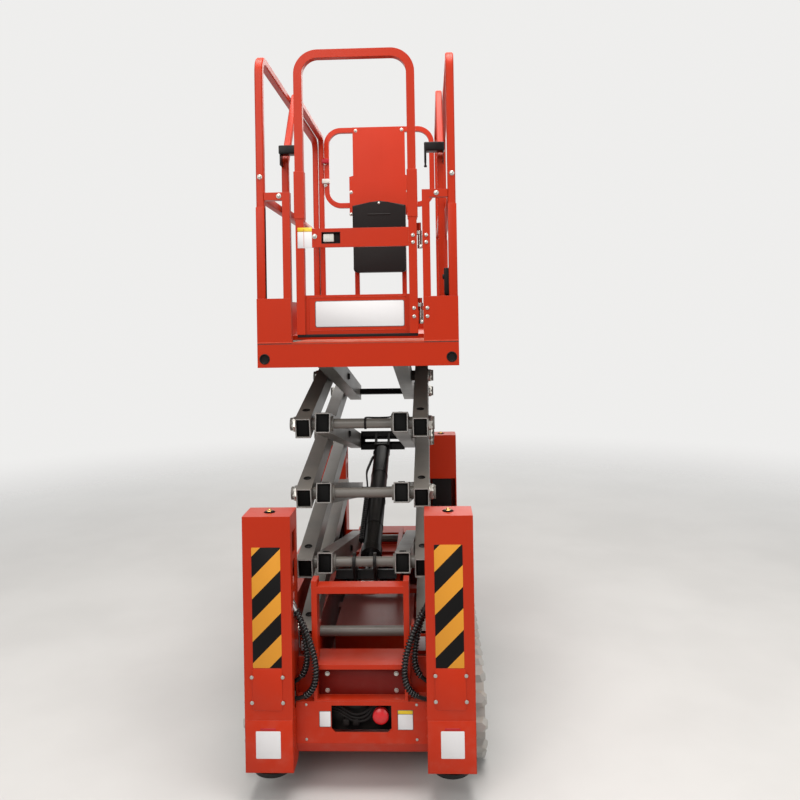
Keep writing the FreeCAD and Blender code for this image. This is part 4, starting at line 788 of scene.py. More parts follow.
class FastenerSetter:
    """Sets fastener heads on points with one geometry group."""

    spin_step = 2.399

    def __init__(self) -> None:
        """Builds the group, whose inputs are the sizes of a head."""
        tree = bpy.data.node_groups.new("fastener_heads", "GeometryNodeTree")
        tree.interface.new_socket(name="Geometry", in_out="INPUT", socket_type="NodeSocketGeometry")
        for label, kind in (("Sides", "Int"), ("Radius", "Float"), ("Height", "Float"), ("Crown", "Float"),
                            ("Washer Radius", "Float"), ("Washer Height", "Float"), ("Finish", "Material")):
            tree.interface.new_socket(name=label, in_out="INPUT", socket_type=f"NodeSocket{kind}")
        tree.interface.new_socket(name="Geometry", in_out="OUTPUT", socket_type="NodeSocketGeometry")
        sheet = NodeSheet(tree)
        given = sheet.add("NodeGroupInput").outputs
        out = sheet.add("NodeGroupOutput")
        shank = sheet.add("GeometryNodeMeshCone", Vertices=given["Sides"], Radius_Top=given["Radius"],
                          Radius_Bottom=given["Radius"], Depth=sheet.math("MULTIPLY", given["Height"], 0.6))
        top_radius = sheet.math("MULTIPLY", given["Radius"], given["Crown"])
        dome = sheet.add("GeometryNodeMeshCone", Vertices=given["Sides"], Radius_Top=top_radius,
                         Radius_Bottom=given["Radius"], Depth=sheet.math("MULTIPLY", given["Height"], 0.4))
        lift = sheet.add("ShaderNodeCombineXYZ", Z=sheet.math("MULTIPLY", given["Height"], 0.6))
        dome = sheet.add("GeometryNodeTransform", Geometry=dome.outputs[0], Translation=lift.outputs[0])
        washer = sheet.add("GeometryNodeMeshCone", Vertices=24, Radius_Top=given["Washer Radius"],
                           Radius_Bottom=given["Washer Radius"], Depth=given["Washer Height"])
        join = sheet.add("GeometryNodeJoinGeometry")
        for part in (washer, dome, shank):
            tree.links.new(part.outputs[0], join.inputs[0])
        facing = sheet.add("GeometryNodeInputNamedAttribute", {"data_type": "FLOAT_VECTOR"}, Name="facing")
        spin = sheet.add("GeometryNodeInputNamedAttribute", {"data_type": "FLOAT"}, Name="spin")
        turn = sheet.add("FunctionNodeAlignRotationToVector", {"axis": "Z"}, Vector=facing.outputs[0])
        own = sheet.add("FunctionNodeAxisAngleToRotation", Angle=spin.outputs[0])
        own.inputs["Axis"].default_value = (0, 0, 1)
        both = sheet.add("FunctionNodeRotateRotation", {"rotation_space": "LOCAL"}, Rotation=turn.outputs[0],
                         Rotate_By=own.outputs[0])
        placed = sheet.add("GeometryNodeInstanceOnPoints", Points=given["Geometry"], Instance=join.outputs[0],
                           Rotation=both.outputs[0])
        real = sheet.add("GeometryNodeRealizeInstances", Geometry=placed.outputs[0])
        dressed = sheet.add("GeometryNodeSetMaterial", Geometry=real.outputs[0], Material=given["Finish"])
        sheet.put(out.inputs[0], dressed.outputs[0])
        self.tree = tree
        self.sockets = {item.name: item.identifier for item in tree.interface.items_tree
                        if item.in_out == "INPUT"}

    def set(self, name: str, kind: Fastener, paint: Paint, body: str, spots: Sequence[Point],
            *ways: Point) -> bpy.types.Object:
        """Sets one head on each spot.

        Args:
            name: Name of the piece.
            kind: The kind of head.
            paint: Its finish.
            body: The body they move with.
            spots: Place of each head's seat.
            *ways: The way each head faces, or one way for all of them.

        Returns:
            One mesh with all the heads.
        """
        head = kind.value
        data = bpy.data.meshes.new(name + "_spots")
        data.from_pydata(spots, [], [])
        facing = data.attributes.new("facing", "FLOAT_VECTOR", "POINT")
        turns = ways if len(ways) > 1 else ways * len(spots)
        facing.data.foreach_set("vector", [value for way in turns for value in way])
        spin = data.attributes.new("spin", "FLOAT", "POINT")
        spin.data.foreach_set("value", [(index * self.spin_step) % 6.283 for index in range(len(spots))])
        holder = bpy.data.objects.new(name + "_spots", data)
        bpy.context.scene.collection.objects.link(holder)
        modifier = holder.modifiers.new("heads", "NODES")
        modifier.node_group = self.tree
        washer = head.washer or head.radius
        values = {"Sides": head.sides, "Radius": head.radius, "Height": head.height, "Crown": head.crown,
                  "Washer Radius": washer, "Washer Height": head.washer_thick, "Finish": paint.material}
        for label, value in values.items():
            modifier[self.sockets[label]] = value
        made = bpy.data.meshes.new_from_object(holder.evaluated_get(bpy.context.evaluated_depsgraph_get()))
        holder.modifiers.remove(modifier)
        bpy.data.objects.remove(holder)
        made.name = name
        for attribute in ("facing", "spin"):
            if attribute in made.attributes:
                made.attributes.remove(made.attributes[attribute])
        return seat(made, name, paint, body, 35.0)


class Arm(Enum):
    """The two kinds of scissor arm: name, way it rises from its near end, and distance from the middle."""

    OUTER = ("outer", 1.0, 0.1975)
    INNER = ("inner", -1.0, 0.1305)

    def __init__(self, label: str, lean: float, x: float) -> None:
        """Names the values.

        Args:
            label: Start of its bodies' names.
            lean: 1 where the arm rises from its near end, -1 where it falls.
            x: Distance of its middle from the machine's.
        """
        self.label = label
        self.lean = lean
        self.x = x


@dataclass(frozen=True)
class PivotGrid:
    """Places of the scissor's pivots at rest.

    Attributes:
        near_y: Y of the near pivots.
        base_z: Height of the lowest pivots.
        rise: Height of one stage.
        arm: Length of an arm between its end pivots.
    """

    near_y: float = -0.6
    base_z: float = 0.432
    rise: float = 0.2354
    arm: float = 1.125

    @property
    def tilt(self) -> float:
        """Angle of an arm from level."""
        return math.asin(self.rise / self.arm)

    def near(self, level: float) -> tuple[float, float]:
        """Y and Z of the near pivot at a level."""
        return self.near_y, self.base_z + level * self.rise

    def far(self, level: float) -> tuple[float, float]:
        """Y and Z of the far pivot at a level."""
        return self.near_y + self.arm * math.cos(self.tilt), self.base_z + level * self.rise

    def middle(self, stage: int) -> tuple[float, float]:
        """Y and Z of the crossing in a stage."""
        return self.near_y + self.arm * math.cos(self.tilt) / 2, self.base_z + (stage - 0.5) * self.rise

    def direction(self, arm: Arm) -> Point:
        """The way from an arm's near end to its far end."""
        return 0.0, math.cos(self.tilt), arm.lean * math.sin(self.tilt)

    def up(self, arm: Arm) -> Point:
        """The way out of an arm's top."""
        return 0.0, -arm.lean * math.sin(self.tilt), math.cos(self.tilt)

    def by_arm(self, arm: Arm, stage: int, x: float, along: float, above: float) -> Point:
        """A point by an arm, along it from its near pivot and above its middle line."""
        y, z = self.near(stage - 1 if arm is Arm.OUTER else stage)
        _, ahead_y, ahead_z = self.direction(arm)
        _, up_y, up_z = self.up(arm)
        return x, y + along * ahead_y + above * up_y, z + along * ahead_z + above * up_z


PIVOTS = PivotGrid()


class Probe:
    """Finds where a straight line first meets a carried-over solid."""

    def __init__(self, nodes: dict[str, bpy.types.Object]) -> None:
        """Keeps the solids.

        Args:
            nodes: The carried-over objects by name.
        """
        self.nodes = nodes
        self.trees: dict[str, BVHTree] = {}

    def meet(self, node: str, start: Point, way: Point) -> Vector:
        """The first point of a solid on a line.

        Args:
            node: Name of the solid.
            start: Where the line starts.
            way: Its direction.

        Returns:
            The point on the solid's surface.
        """
        if node not in self.trees:
            data = self.nodes[node].data
            faces = [tuple(face.vertices) for face in data.polygons]
            self.trees[node] = BVHTree.FromPolygons([vertex.co for vertex in data.vertices], faces)
        spot = self.trees[node].ray_cast(Vector(start), Vector(way))[0]
        if spot is None:
            raise ValueError(f"the line from {start} misses {node}")
        return spot


@dataclass
class Studio:
    """The camera, the pale floor and the soft lamps."""

    eye: Point = (0.235, -3.255, 1.507)
    turn: float = math.radians(2.10)
    roll: float = math.radians(-0.92)
    lens: float = 35.19
    shift: float = -0.107
    floor_radius: float = 11.0
    floor_z: float = -0.001
    background: Colour = (0.86, 0.855, 0.845)
    ambient: float = 0.36
    side_shift: float = -0.0014
    lamp_colour: Colour = (1.0, 0.965, 0.925)

    def place_camera(self) -> None:
        """Sets the camera at the photograph's viewing angle."""
        data = bpy.data.cameras.new("view_camera")
        data.lens = self.lens
        data.sensor_width = 36.0
        data.shift_y = self.shift
        data.shift_x = self.side_shift
        camera = bpy.data.objects.new("view_camera", data)
        bpy.context.scene.collection.objects.link(camera)
        aim = Matrix.Rotation(self.turn, 4, "Z") @ Matrix.Rotation(math.pi / 2, 4, "X")
        camera.matrix_world = Matrix.Translation(self.eye) @ aim @ Matrix.Rotation(self.roll, 4, "Z")
        bpy.context.scene.camera = camera

    def light_world(self) -> None:
        """Makes the surroundings pale to the eye and in reflections, and an even soft light."""
        world = bpy.data.worlds.new("studio")
        bpy.context.scene.world = world
        world.use_nodes = True
        sheet = NodeSheet(world.node_tree)
        back = world.node_tree.nodes["Background"]
        path = sheet.add("ShaderNodeLightPath")
        seen = sheet.math("MAXIMUM", path.outputs["Is Camera Ray"], path.outputs["Is Transmission Ray"])
        seen = sheet.math("MAXIMUM", seen, sheet.math("MULTIPLY", path.outputs["Is Glossy Ray"], 0.75))
        back.inputs["Color"].default_value = (*self.background, 1.0)
        sheet.put(back.inputs["Strength"], sheet.math("ADD", sheet.math("MULTIPLY", seen, 1.0 - self.ambient),
                                                      self.ambient))

    def add_lamp(self, name: str, place: Point, target: Point, size: float, power: float) -> None:
        """Adds one large soft lamp.

        Args:
            name: Its name.
            place: Where it hangs.
            target: What it points at.
            size: Length of its sides.
            power: Its power in watts.
        """
        data = bpy.data.lights.new(name, "AREA")
        data.size = size
        data.energy = power
        data.color = self.lamp_colour
        lamp = bpy.data.objects.new(name, data)
        bpy.context.scene.collection.objects.link(lamp)
        lamp.location = place
        lamp.rotation_mode = "QUATERNION"
        lamp.rotation_quaternion = (Vector(target) - Vector(place)).to_track_quat("-Z", "Y")

    def lay_floor(self) -> None:
        """Lays a round floor that fades into the background at its rim."""
        mesh = bmesh.new()
        bmesh.ops.create_circle(mesh, cap_ends=True, segments=96, radius=self.floor_radius,
                                matrix=Matrix.Translation((0, 0, self.floor_z)))
        data = bpy.data.meshes.new("floor")
        mesh.to_mesh(data)
        mesh.free()
        floor = bpy.data.objects.new("floor", data)
        bpy.context.scene.collection.objects.link(floor)
        material = bpy.data.materials.new("pale_floor")
        material.use_nodes = True
        sheet = NodeSheet(material.node_tree)
        surface = material.node_tree.nodes["Principled BSDF"]
        place = sheet.add("ShaderNodeTexCoord").outputs["Object"]
        reach = sheet.add("ShaderNodeVectorMath", {"operation": "LENGTH"})
        sheet.put(reach.inputs[0], place)
        fade = sheet.math("SUBTRACT", 1.0, sheet.ramp(reach.outputs["Value"], self.floor_radius * 0.16,
                                                      self.floor_radius * 0.62))
        cloud = sheet.ramp(sheet.noise(1.6, 5.0), 0.3, 0.7)
        colour = sheet.blend(cloud, (0.56, 0.56, 0.555, 1.0), (0.60, 0.60, 0.595, 1.0))
        sheet.put(surface.inputs["Base Color"], colour)
        surface.inputs["Roughness"].default_value = 0.75
        sheet.put(surface.inputs["Alpha"], fade)
        data.materials.append(material)

    def build(self) -> None:
        """Sets the whole studio up."""
        bpy.context.scene.view_settings.view_transform = "Standard"
        self.place_camera()
        self.light_world()
        self.add_lamp("key_lamp", (-1.8, -5.0, 4.0), (0, -0.4, 1.0), 3.4, 138.0)
        self.add_lamp("fill_lamp", (3.6, -3.4, 2.2), (0, -0.3, 1.0), 3.0, 50.0)
        self.add_lamp("back_lamp", (0.6, 4.4, 3.6), (0, 0.3, 1.2), 3.0, 60.0)
        self.add_lamp("top_lamp", (0.2, -1.1, 5.4), (0, -0.3, 1.0), 3.0, 280.0)
        self.lay_floor()


@dataclass
class Coats:
    """Which finish each carried-over solid wears."""

    nodes: dict[str, bpy.types.Object]
    table: dict[Paint, tuple[str, ...]] = field(default_factory=lambda: {
        Paint.RED: ("chassis_frame", "rear_panel", "front_panel", "step_frame", "cabinet_*", "outrigger_*",
                    "platform_frame", "toe_boards", "entry_frames", "gate", "guard_rail_*",
                    "extension_rails", "far_frame", "extension_deck", "battery_block"),
        Paint.ARM_GREY: ("outer_arms_*", "inner_arms_*", "base_pivot_bar"),
        Paint.BLACK: ("cross_bars_*", "lift_barrel", "power_unit", "track_frame_*", "rail_handles", "jacks",
                      "foot_*", "switch_bracket"),
        Paint.RUBBER: ("track_left", "track_right"),
        Paint.PLASTIC: ("document_box",),
        Paint.BUTTON: ("emergency_button",),
        Paint.CLEAR: ("step_screen",),
        Paint.ZINC: ("gate_hinges", "hose_fittings"),
        Paint.CHROME: ("lift_rod",),
        Paint.TREAD: ("platform_floor",),
        Paint.HOSE: ("hose_outer_*", "hose_inner_*"),
    })

    def wear(self) -> None:
        """Gives every solid its finish."""
        left_over = set(self.nodes)
        for paint, patterns in self.table.items():
            for node in [name for name in self.nodes
                         if any(fnmatch.fnmatch(name, each) for each in patterns)]:
                data = self.nodes[node].data
                data.materials.clear()
                data.materials.append(paint.material)
                left_over.discard(node)
        if left_over:
            raise ValueError(f"no finish for {sorted(left_over)}")
        LOG.info("coated %d solids", len(self.nodes))


@dataclass(frozen=True)
class Rectangle:
    """An upright rectangle on a face, by its edges."""

    left: float
    right: float
    low: float
    high: float

    @property
    def half(self) -> tuple[float, float]:
        """Half its width and half its height."""
        return (self.right - self.left) / 2, (self.high - self.low) / 2

    def middle(self, y: float) -> Point:
        """Its middle, on the plane at y."""
        return (self.left + self.right) / 2, y, (self.low + self.high) / 2

    def loop(self, y: float) -> list[Point]:
        """Its corners on the plane at y, the first one again at the end."""
        corners = ((self.left, self.low), (self.right, self.low), (self.right, self.high),
                   (self.left, self.high), (self.left, self.low))
        return [(x, y, z) for x, z in corners]

    def grown(self, margin: float) -> "Rectangle":
        """The rectangle with all its edges moved out."""
        return Rectangle(self.left - margin, self.right + margin, self.low - margin, self.high + margin)

    def on_side(self, side: float) -> "Rectangle":
        """The rectangle, given for the right side, on either side of the machine."""
        return Rectangle(*sorted((side * self.left, side * self.right)), self.low, self.high)


def face_plate(name: str, area: Rectangle, y: float, end: float, corner: float, thick: float, paint: Paint,
               body: str) -> bpy.types.Object:
    """Sets a thin plate on an upright face that looks along Y.

    Args:
        name: Name of the piece.
        area: Its edges.
        y: Place of the face.
        end: -1 where the face looks back to the near end, 1 where it looks away.
        corner: Radius of its corners.
        thick: Its thickness.
        paint: Its finish.
        body: The body it moves with.

    Returns:
        The plate.
    """
    return Shaper(name).plate(area.middle(y), (-end, 0, 0), UP, area.half, corner, thick).finish(paint, body)


@dataclass
class Trim:
    """Small pieces that one part of the machine wears.

    Attributes:
        setter: Sets the fastener heads.
        probe: Finds places on the carried-over solids.
    """

    setter: FastenerSetter
    probe: Probe


@dataclass(frozen=True)
class LegFace:
    """Where things sit on a leg's outer face."""

    stripes: Rectangle
    cover: Rectangle
    screws: Spots
    sign: Rectangle
    stripe_paint: Paint


@dataclass
class CornerLegs(Trim):
    """Warning panels, covers, signs, screws and top fittings of the four leg housings."""

    face_y: float = 0.855
    cheek_x: float = 0.207
    top: Point = (0.282, 0.796, 0.888)
    skirt: Rectangle = Rectangle(0.2085, 0.3555, 0.0975, 0.259)
    faces: dict[str, LegFace] = field(default_factory=lambda: {
        "left": LegFace(Rectangle(-0.329, -0.239, 0.4205, 0.793), Rectangle(-0.332, -0.238, 0.289, 0.419),
                        ((-0.333, 0.3927), (-0.2365, 0.3927), (-0.333, 0.3138), (-0.2365, 0.3138)),
                        Rectangle(-0.323, -0.246, 0.141, 0.2256), Paint.STRIPES_LEFT),
        "right": LegFace(Rectangle(0.236, 0.3235, 0.4205, 0.799), Rectangle(0.233, 0.329, 0.291, 0.419),
                         ((0.2345, 0.3978), (0.3290, 0.3978), (0.2345, 0.3181), (0.3290, 0.3181)),
                         Rectangle(0.2486, 0.3207, 0.1436, 0.2276), Paint.STRIPES_RIGHT),
    })
    cheek_rivets: Spots = ((0.772, 0.327), (0.772, 0.294), (0.836, 0.289), (0.836, 0.258), (0.836, 0.201))
    union_nut: Outline = ((0, 0.0110), (0.0045, 0.0110), (0.0060, 0.0092))
    union_stud: Outline = ((0.0050, 0.0062), (0.0095, 0.0062), (0.0105, 0.0050))
    union_ring: float = 0.0155

    def build(self) -> None:
        """Dresses all four legs."""
        for end_name, end in ENDS.items():
            for side_name, side in SIDES.items():
                place = f"{end_name}_{side_name}"
                self._face(place, self.faces[side_name], side, end)
                rivets = [(side * self.cheek_x, end * y, z) for y, z in self.cheek_rivets]
                self.setter.set(f"leg_rivets_{place}", Fastener.RIVET, Paint.RED, "chassis",
                                rivets, (-side, 0, 0))
                self._top(place, side, end)

    def _face(self, place: str, here: LegFace, side: float, end: float) -> None:
        """Dresses a leg's outer face."""
        y = end * self.face_y
        on_skirt = y + end * 0.0015
        middle = here.sign.middle(y)[0]
        strip = Rectangle(middle - 0.024, middle + 0.024, here.sign.high + 0.003, here.sign.high + 0.009)
        for name, area, depth, corner, thick, paint in (
                ("skirt", self.skirt.on_side(side), y, 0.002, 0.0016, Paint.RED),
                ("stripes", here.stripes, y, 0.003, 0.0007, here.stripe_paint),
                ("cover", here.cover, y, 0.010, 0.0022, Paint.RED),
                ("sign", here.sign, on_skirt, 0.003, 0.0006, Paint.SIGN),
                ("sign_strip", strip, on_skirt, 0.001, 0.0006, Paint.SIGN_RED)):
            face_plate(f"leg_{name}_{place}", area, depth, end, corner, thick, paint, "chassis")
        screws = [(x, y + end * 0.0021, z) for x, z in here.screws]
        self.setter.set(f"leg_cover_screws_{place}", Fastener.PAN_SCREW, Paint.ZINC, "chassis",
                        screws, (0, end, 0))

    def _top(self, place: str, side: float, end: float) -> None:
        """Fits the brass union in the hole at a leg's top, with a near-black ring of painted shade at the
        hole's edge.
        """
        x, y, z = self.top
        foot = (side * x, end * y, z - 0.001)
        union = Shaper(f"leg_union_{place}").turned(foot, UP, self.union_nut, 6)
        union.turned(foot, UP, self.union_stud, 18).finish(Paint.BRASS, "chassis")
        # Near-black ring at the hole's edge round the union: painted shade of the gap.
        ring = circle((side * x, end * y, z + 0.0002), self.union_ring, ACROSS, ALONG, 24)
        Shaper(f"leg_union_shade_ring_{place}").pipe(ring, 0.0016, 8).finish(Paint.BLACK_PLUG_AND_SHADE, "chassis", 60.0)


@dataclass
class EndPanels(Trim):
    """Rivets, pocket bolts, signs and painted-shade pocket plates of the chassis end panels, and the cables
    in the rear one's slot.
    """

    face_y: float = 0.805
    bracket_y: float = -0.756
    signs: tuple[tuple[Rectangle, Paint], ...] = (
        (Rectangle(-0.1315, -0.0975, 0.2139, 0.261), Paint.SIGN),
        (Rectangle(0.1153, 0.1614, 0.2053, 0.2525), Paint.SIGN),
        (Rectangle(0.1153, 0.1614, 0.2535, 0.2648), Paint.SIGN_YELLOW))
    rivets: Spots = ((-0.174, 0.174), (0.174, 0.174), (-0.174, 0.283), (0.174, 0.283))
    pocket: Rectangle = Rectangle(-0.1375, 0.1375, 0.2995, 0.392)
    pocket_bolts: Spots = ((-0.110, 0.365), (0.110, 0.365), (-0.110, 0.3115), (0.110, 0.3115))
    cable_shifts: Spots = ((0.0, 0.0), (0.006, 0.010), (-0.004, -0.011))
    plugs_x: tuple[float, ...] = (-0.052, -0.020)

    def build(self) -> None:
        """Dresses both end panels."""
        for end_name, end in ENDS.items():
            rivets = [(x, end * self.face_y, z) for x, z in self.rivets]
            self.setter.set(f"panel_rivets_{end_name}", Fastener.RIVET, Paint.ZINC, "chassis",
                            rivets, (0, end, 0))
            bolts = [tuple(self._in_pocket(x, z, end)) for x, z in self.pocket_bolts]
            self.setter.set(f"pocket_bolts_{end_name}", Fastener.HEX_SMALL, Paint.ZINC, "chassis",
                            bolts, (0, end, 0))
            # A deep red plate on the pocket's back stands for the shade under the shelf: painted shade.
            floor_y = self._in_pocket(0.0, 0.345, end).y
            face_plate(f"pocket_shade_{end_name}", self.pocket, floor_y, end, 0.002, 0.0006, Paint.POCKET_SHADE_RED,
                       "chassis")
        for index, (area, paint) in enumerate(self.signs, 1):
            face_plate(f"rear_sign_rim_{index}", area.grown(0.0016), -self.face_y, -1.0, 0.002, 0.0004,
                       Paint.SIGN_EDGE, "chassis")
            face_plate(f"rear_sign_{index}", area, -self.face_y, -1.0, 0.002, 0.0008, paint, "chassis")
        self._slot_cables()

    def _in_pocket(self, x: float, z: float, end: float) -> Vector:
        """The point of the pocket's floor at x and z."""
        return self.probe.meet("chassis_frame", (x, end * 1.2, z), (0, -end, 0))

    def _slot_cables(self) -> None:
        """Lays the black cables and plugs that show in the rear panel's slot, on the bracket behind it."""
        cables = Shaper("slot_cables")
        back = self.bracket_y - 0.0042
        for shift, drop in self.cable_shifts:
            route = [(-0.150, back, 0.262 - drop), (-0.085, back, 0.250 - drop),
                     (-0.030, back - 0.010, 0.226 - drop), (0.010 + shift, back - 0.014, 0.232 - drop),
                     (0.045 + shift, back - 0.004, 0.262), (0.095 + shift, back, 0.272 + shift)]
            cables.pipe(smooth_line(route), 0.0042, 10)
        cables.finish(Paint.PLASTIC, "chassis", 60.0)
        plugs = Shaper("slot_plugs")
        for x in self.plugs_x:
            plugs.block((x - 0.010, self.bracket_y - 0.022, 0.202),
                        (x + 0.010, self.bracket_y + 0.0005, 0.222), 0.003, 3)
        plugs.finish(Paint.PLASTIC, "chassis")


@dataclass
class ScissorTrim(Trim):
    """Nuts, bolt heads, hole plugs and end caps of the scissor arms, and what the third stage carries."""

    outer_face: float = 0.2235
    inner_face: float = 0.1045
    plug_height: float = 0.0336
    overhang: float = 0.045
    cross_tube: float = 0.017
    hole_plug: Outline = ((0, 0.0135), (0.0010, 0.0135), (0.0018, 0.0120), (0.0008, 0.0100), (0.0004, 0.002))
    top_plug: Outline = ((0, 0.0125), (0.0020, 0.0125), (0.0030, 0.0105), (0.0030, 0.002))
    cap: tuple[float, float] = (0.0215, 0.0295)
    cap_rib: tuple[float, float] = (0.0165, 0.0245)
    rim: tuple[float, float] = (0.0237, 0.0317)

    def build(self) -> None:
        """Fits the trim of all four stages."""
        self._on_sides("base_pivot_nuts", Fastener.ARM_NUT, Paint.ZINC, "chassis", self.outer_face, 1.0,
                       [PIVOTS.near(0)])
        for stage in range(1, 5):
            carrier = f"inner_{stage}"
            pins = [PIVOTS.middle(stage)]
            if stage < 4:
                pins.append(PIVOTS.near(stage))
            if stage > 1:
                pins.append(PIVOTS.far(stage - 1))
            self._on_sides(f"arm_nuts_{stage}", Fastener.ARM_NUT, Paint.ZINC, carrier, self.outer_face, 1.0,
                           pins)
            self._on_sides(f"crossing_heads_{stage}", Fastener.HEX_LARGE, Paint.BLACK, carrier,
                           self.inner_face, -1.0, [PIVOTS.middle(stage)])
            self._plugs(f"arm_hole_plugs_{stage}", Arm.OUTER, stage, 0.045, self.hole_plug, 28)
            self._plugs(f"arm_top_plugs_{stage}", Arm.INNER, stage, -0.012, self.top_plug, 24)
            self._caps(Arm.OUTER, stage, (-1.0, 1.0) if stage < 4 else (-1.0,))
            self._caps(Arm.INNER, stage, (-1.0, 1.0) if stage < 4 else (1.0,))
        self._mount_plates()
        self._grease_pipe()

    def _on_sides(self, name: str, kind: Fastener, paint: Paint, body: str, x: float, way: float,
                  places: Sequence[tuple[float, float]]) -> None:
        """Sets heads at Y and Z places on both sides, facing out where way is 1 and in where it is -1."""
        spots = [(side * x, *place) for side in SIDES.values() for place in places]
        ways = [(way * side, 0, 0) for side in SIDES.values() for _ in places]
        self.setter.set(name, kind, paint, body, spots, *ways)

    def _plugs(self, name: str, arm: Arm, stage: int, along: float, outline: Outline, sides: int) -> None:
        """Closes the round holes on top of a pair of arms."""
        plugs = Shaper(name)
        for side in SIDES.values():
            spot = PIVOTS.by_arm(arm, stage, side * arm.x, along, self.plug_height)
            plugs.turned(spot, PIVOTS.up(arm), outline, sides)
        plugs.finish(Paint.BLACK_PLUG_AND_SHADE, f"{arm.label}_{stage}")

    def _caps(self, arm: Arm, stage: int, ways: Sequence[float]) -> None:
        """Closes the open ends of a pair of arms with ribbed caps set in the ends, near-black as painted
        shade of the deep recess, inside light rims.

        Args:
            arm: The kind of arm.
            stage: Its stage.
            ways: -1 for the near ends, 1 for the far ends.
        """
        caps, rims = Shaper(f"{arm.label}_end_shade_caps_{stage}"), Shaper(f"{arm.label}_end_rims_{stage}")
        up = Vector(PIVOTS.up(arm))
        out = Vector(PIVOTS.direction(arm))
        for way in ways:
            across = Vector((-way, 0, 0))
            at = -self.overhang if way < 0 else PIVOTS.arm + self.overhang
            for side in SIDES.values():
                face = Vector(PIVOTS.by_arm(arm, stage, side * arm.x, at, 0.0))
                centre = face - out * way * 0.010
                caps.plate(centre, across, up, self.cap, 0.004, 0.0042)
                caps.plate(centre + out * way * 0.004, across, up, self.cap_rib, 0.004, 0.0012)
                middle = face - out * way * 0.0004
                corners = ((0, -1), (1, -1), (1, 1), (-1, 1), (-1, -1), (0.02, -1))
                loop = [middle + across * (right * self.rim[0]) + up * (above * self.rim[1])
                        for right, above in corners]
                rims.pipe(rounded_path(loop, 0.004, 4), 0.0014, 6)
        # Near-black caps: painted shade of the arm-end recesses.
        caps.finish(Paint.BLACK_PLUG_AND_SHADE, f"{arm.label}_{stage}")
        rims.finish(Paint.CUT_EDGE, f"{arm.label}_{stage}", 60.0)

    def _mount_plates(self) -> None:
        """Narrows the gap between the two bars of the cylinder's upper mount with black plates."""
        plates = Shaper("mount_plates")
        bar, end = (0.1040, 0.0070), (0.0100, 0.0190)
        for x, along, above, half, thick in (
                (0.0, 0.005, -0.0125, bar, 0.012), (0.0, 0.005, 0.0125, bar, 0.012),
                (-0.0945, 0.004, 0.0, end, 0.010), (0.0945, 0.004, 0.0, end, 0.010)):
            centre = PIVOTS.by_arm(Arm.INNER, 3, x, PIVOTS.arm + along, above)
            plates.plate(centre, ACROSS, PIVOTS.up(Arm.INNER), half, 0.001, thick)
        plates.finish(Paint.BLACK, "inner_3")

    def _grease_pipe(self) -> None:
        """Clips a thin black pipe on top of the third stage's near cross tube."""
        y, z = PIVOTS.near(3)
        top = z + self.cross_tube + 0.0025
        route = [(0.0085, y - 0.0120, z + 0.0150), (0.0130, y, top + 0.0005), (0.0400, y, top),
                 (0.0700, y, top), (0.0960, y, top + 0.0020), (0.1020, y, top + 0.0110),
                 (0.1040, y + 0.004, top + 0.0130)]
        pipe = Shaper("grease_pipe").pipe(smooth_line(route), 0.0028, 8)
        for x in (0.0085, 0.0120):
            pipe.pipe(circle((x, y, z), self.cross_tube + 0.0014, ALONG, UP, 28), 0.0020, 8)
        pipe.finish(Paint.PLASTIC, "inner_3", 60.0)


@dataclass
class BarrelTrim(Trim):
    """Cable chain, hose pipes and bands along the lift cylinder's barrel.

    Attributes:
        middle: A point of the barrel's axis at rest.
        along: Direction of the axis at rest.
        radius: The barrel's radius.
        links: Number of links in the chain.
        pitch: Length of one link.
        chain_start: Place of the first link along the axis.
        pipe_route: The upper pipe's places, by distance across, along and above.
        bands: Places of the bands along the axis.
    """

    middle: Point = (0.0, 0.0540, 0.7339)
    along: Point = (0.0, 0.9401, 0.3409)
    radius: float = 0.035
    links: int = 22
    pitch: float = 0.0155
    chain_start: float = -0.300
    pipe_route: tuple[Point, ...] = ((-0.041, 0.018, 0.002), (-0.047, 0.080, 0.010), (-0.054, 0.150, 0.022),
                                     (-0.048, 0.230, 0.012), (-0.040, 0.300, 0.004))
    bands: tuple[float, ...] = (-0.22, -0.04, 0.16)

    def _spot(self, x: float, along: float, above: float) -> Vector:
        """A point beside the barrel, by its distances across, along and above its axis."""
        return Vector(self.middle) + Vector(self.along) * along + self._up() * above + Vector((x, 0, 0))

    def _up(self) -> Vector:
        """The direction above the axis."""
        return Vector((0.0, -self.along[2], self.along[1]))

    def build(self) -> None:
        """Fits the chain, the pipes and the bands."""
        chain = Shaper("cable_chain")
        for index in range(self.links):
            centre = self._spot(0.002 - self.radius, self.chain_start + self.pitch * index, 0.004)
            chain.plate(centre, -Vector(self.along), self._up(), (0.0062, 0.0115), 0.003, 0.021)
        chain.pipe([self._spot(-0.008 - self.radius, at, 0.004) for at in (-0.306, 0.030)], 0.005, 8)
        chain.finish(Paint.BLACK, "barrel")
        pipes = Shaper("barrel_pipes")
        for lift in (0.0, 0.012):
            route = [self._spot(x, at, above + lift) for x, at, above in self.pipe_route]
            pipes.pipe(smooth_line([*route, self._spot(-0.034, 0.345, 0.0)]), 0.0036, 8)
        pipes.pipe([self._spot(-0.030, at, 0.004) for at in (0.352, 0.378)], 0.010, 6)
        pipes.finish(Paint.PLASTIC, "barrel", 60.0)
        bands = Shaper("barrel_bands")
        outline = [(0, self.radius + 0.0002), (0, self.radius + 0.0016), (0.012, self.radius + 0.0016),
                   (0.012, self.radius)]
        for at in self.bands:
            bands.turned(self._spot(0, at, 0), self.along, outline, 36)
        bands.finish(Paint.BLACK, "barrel")


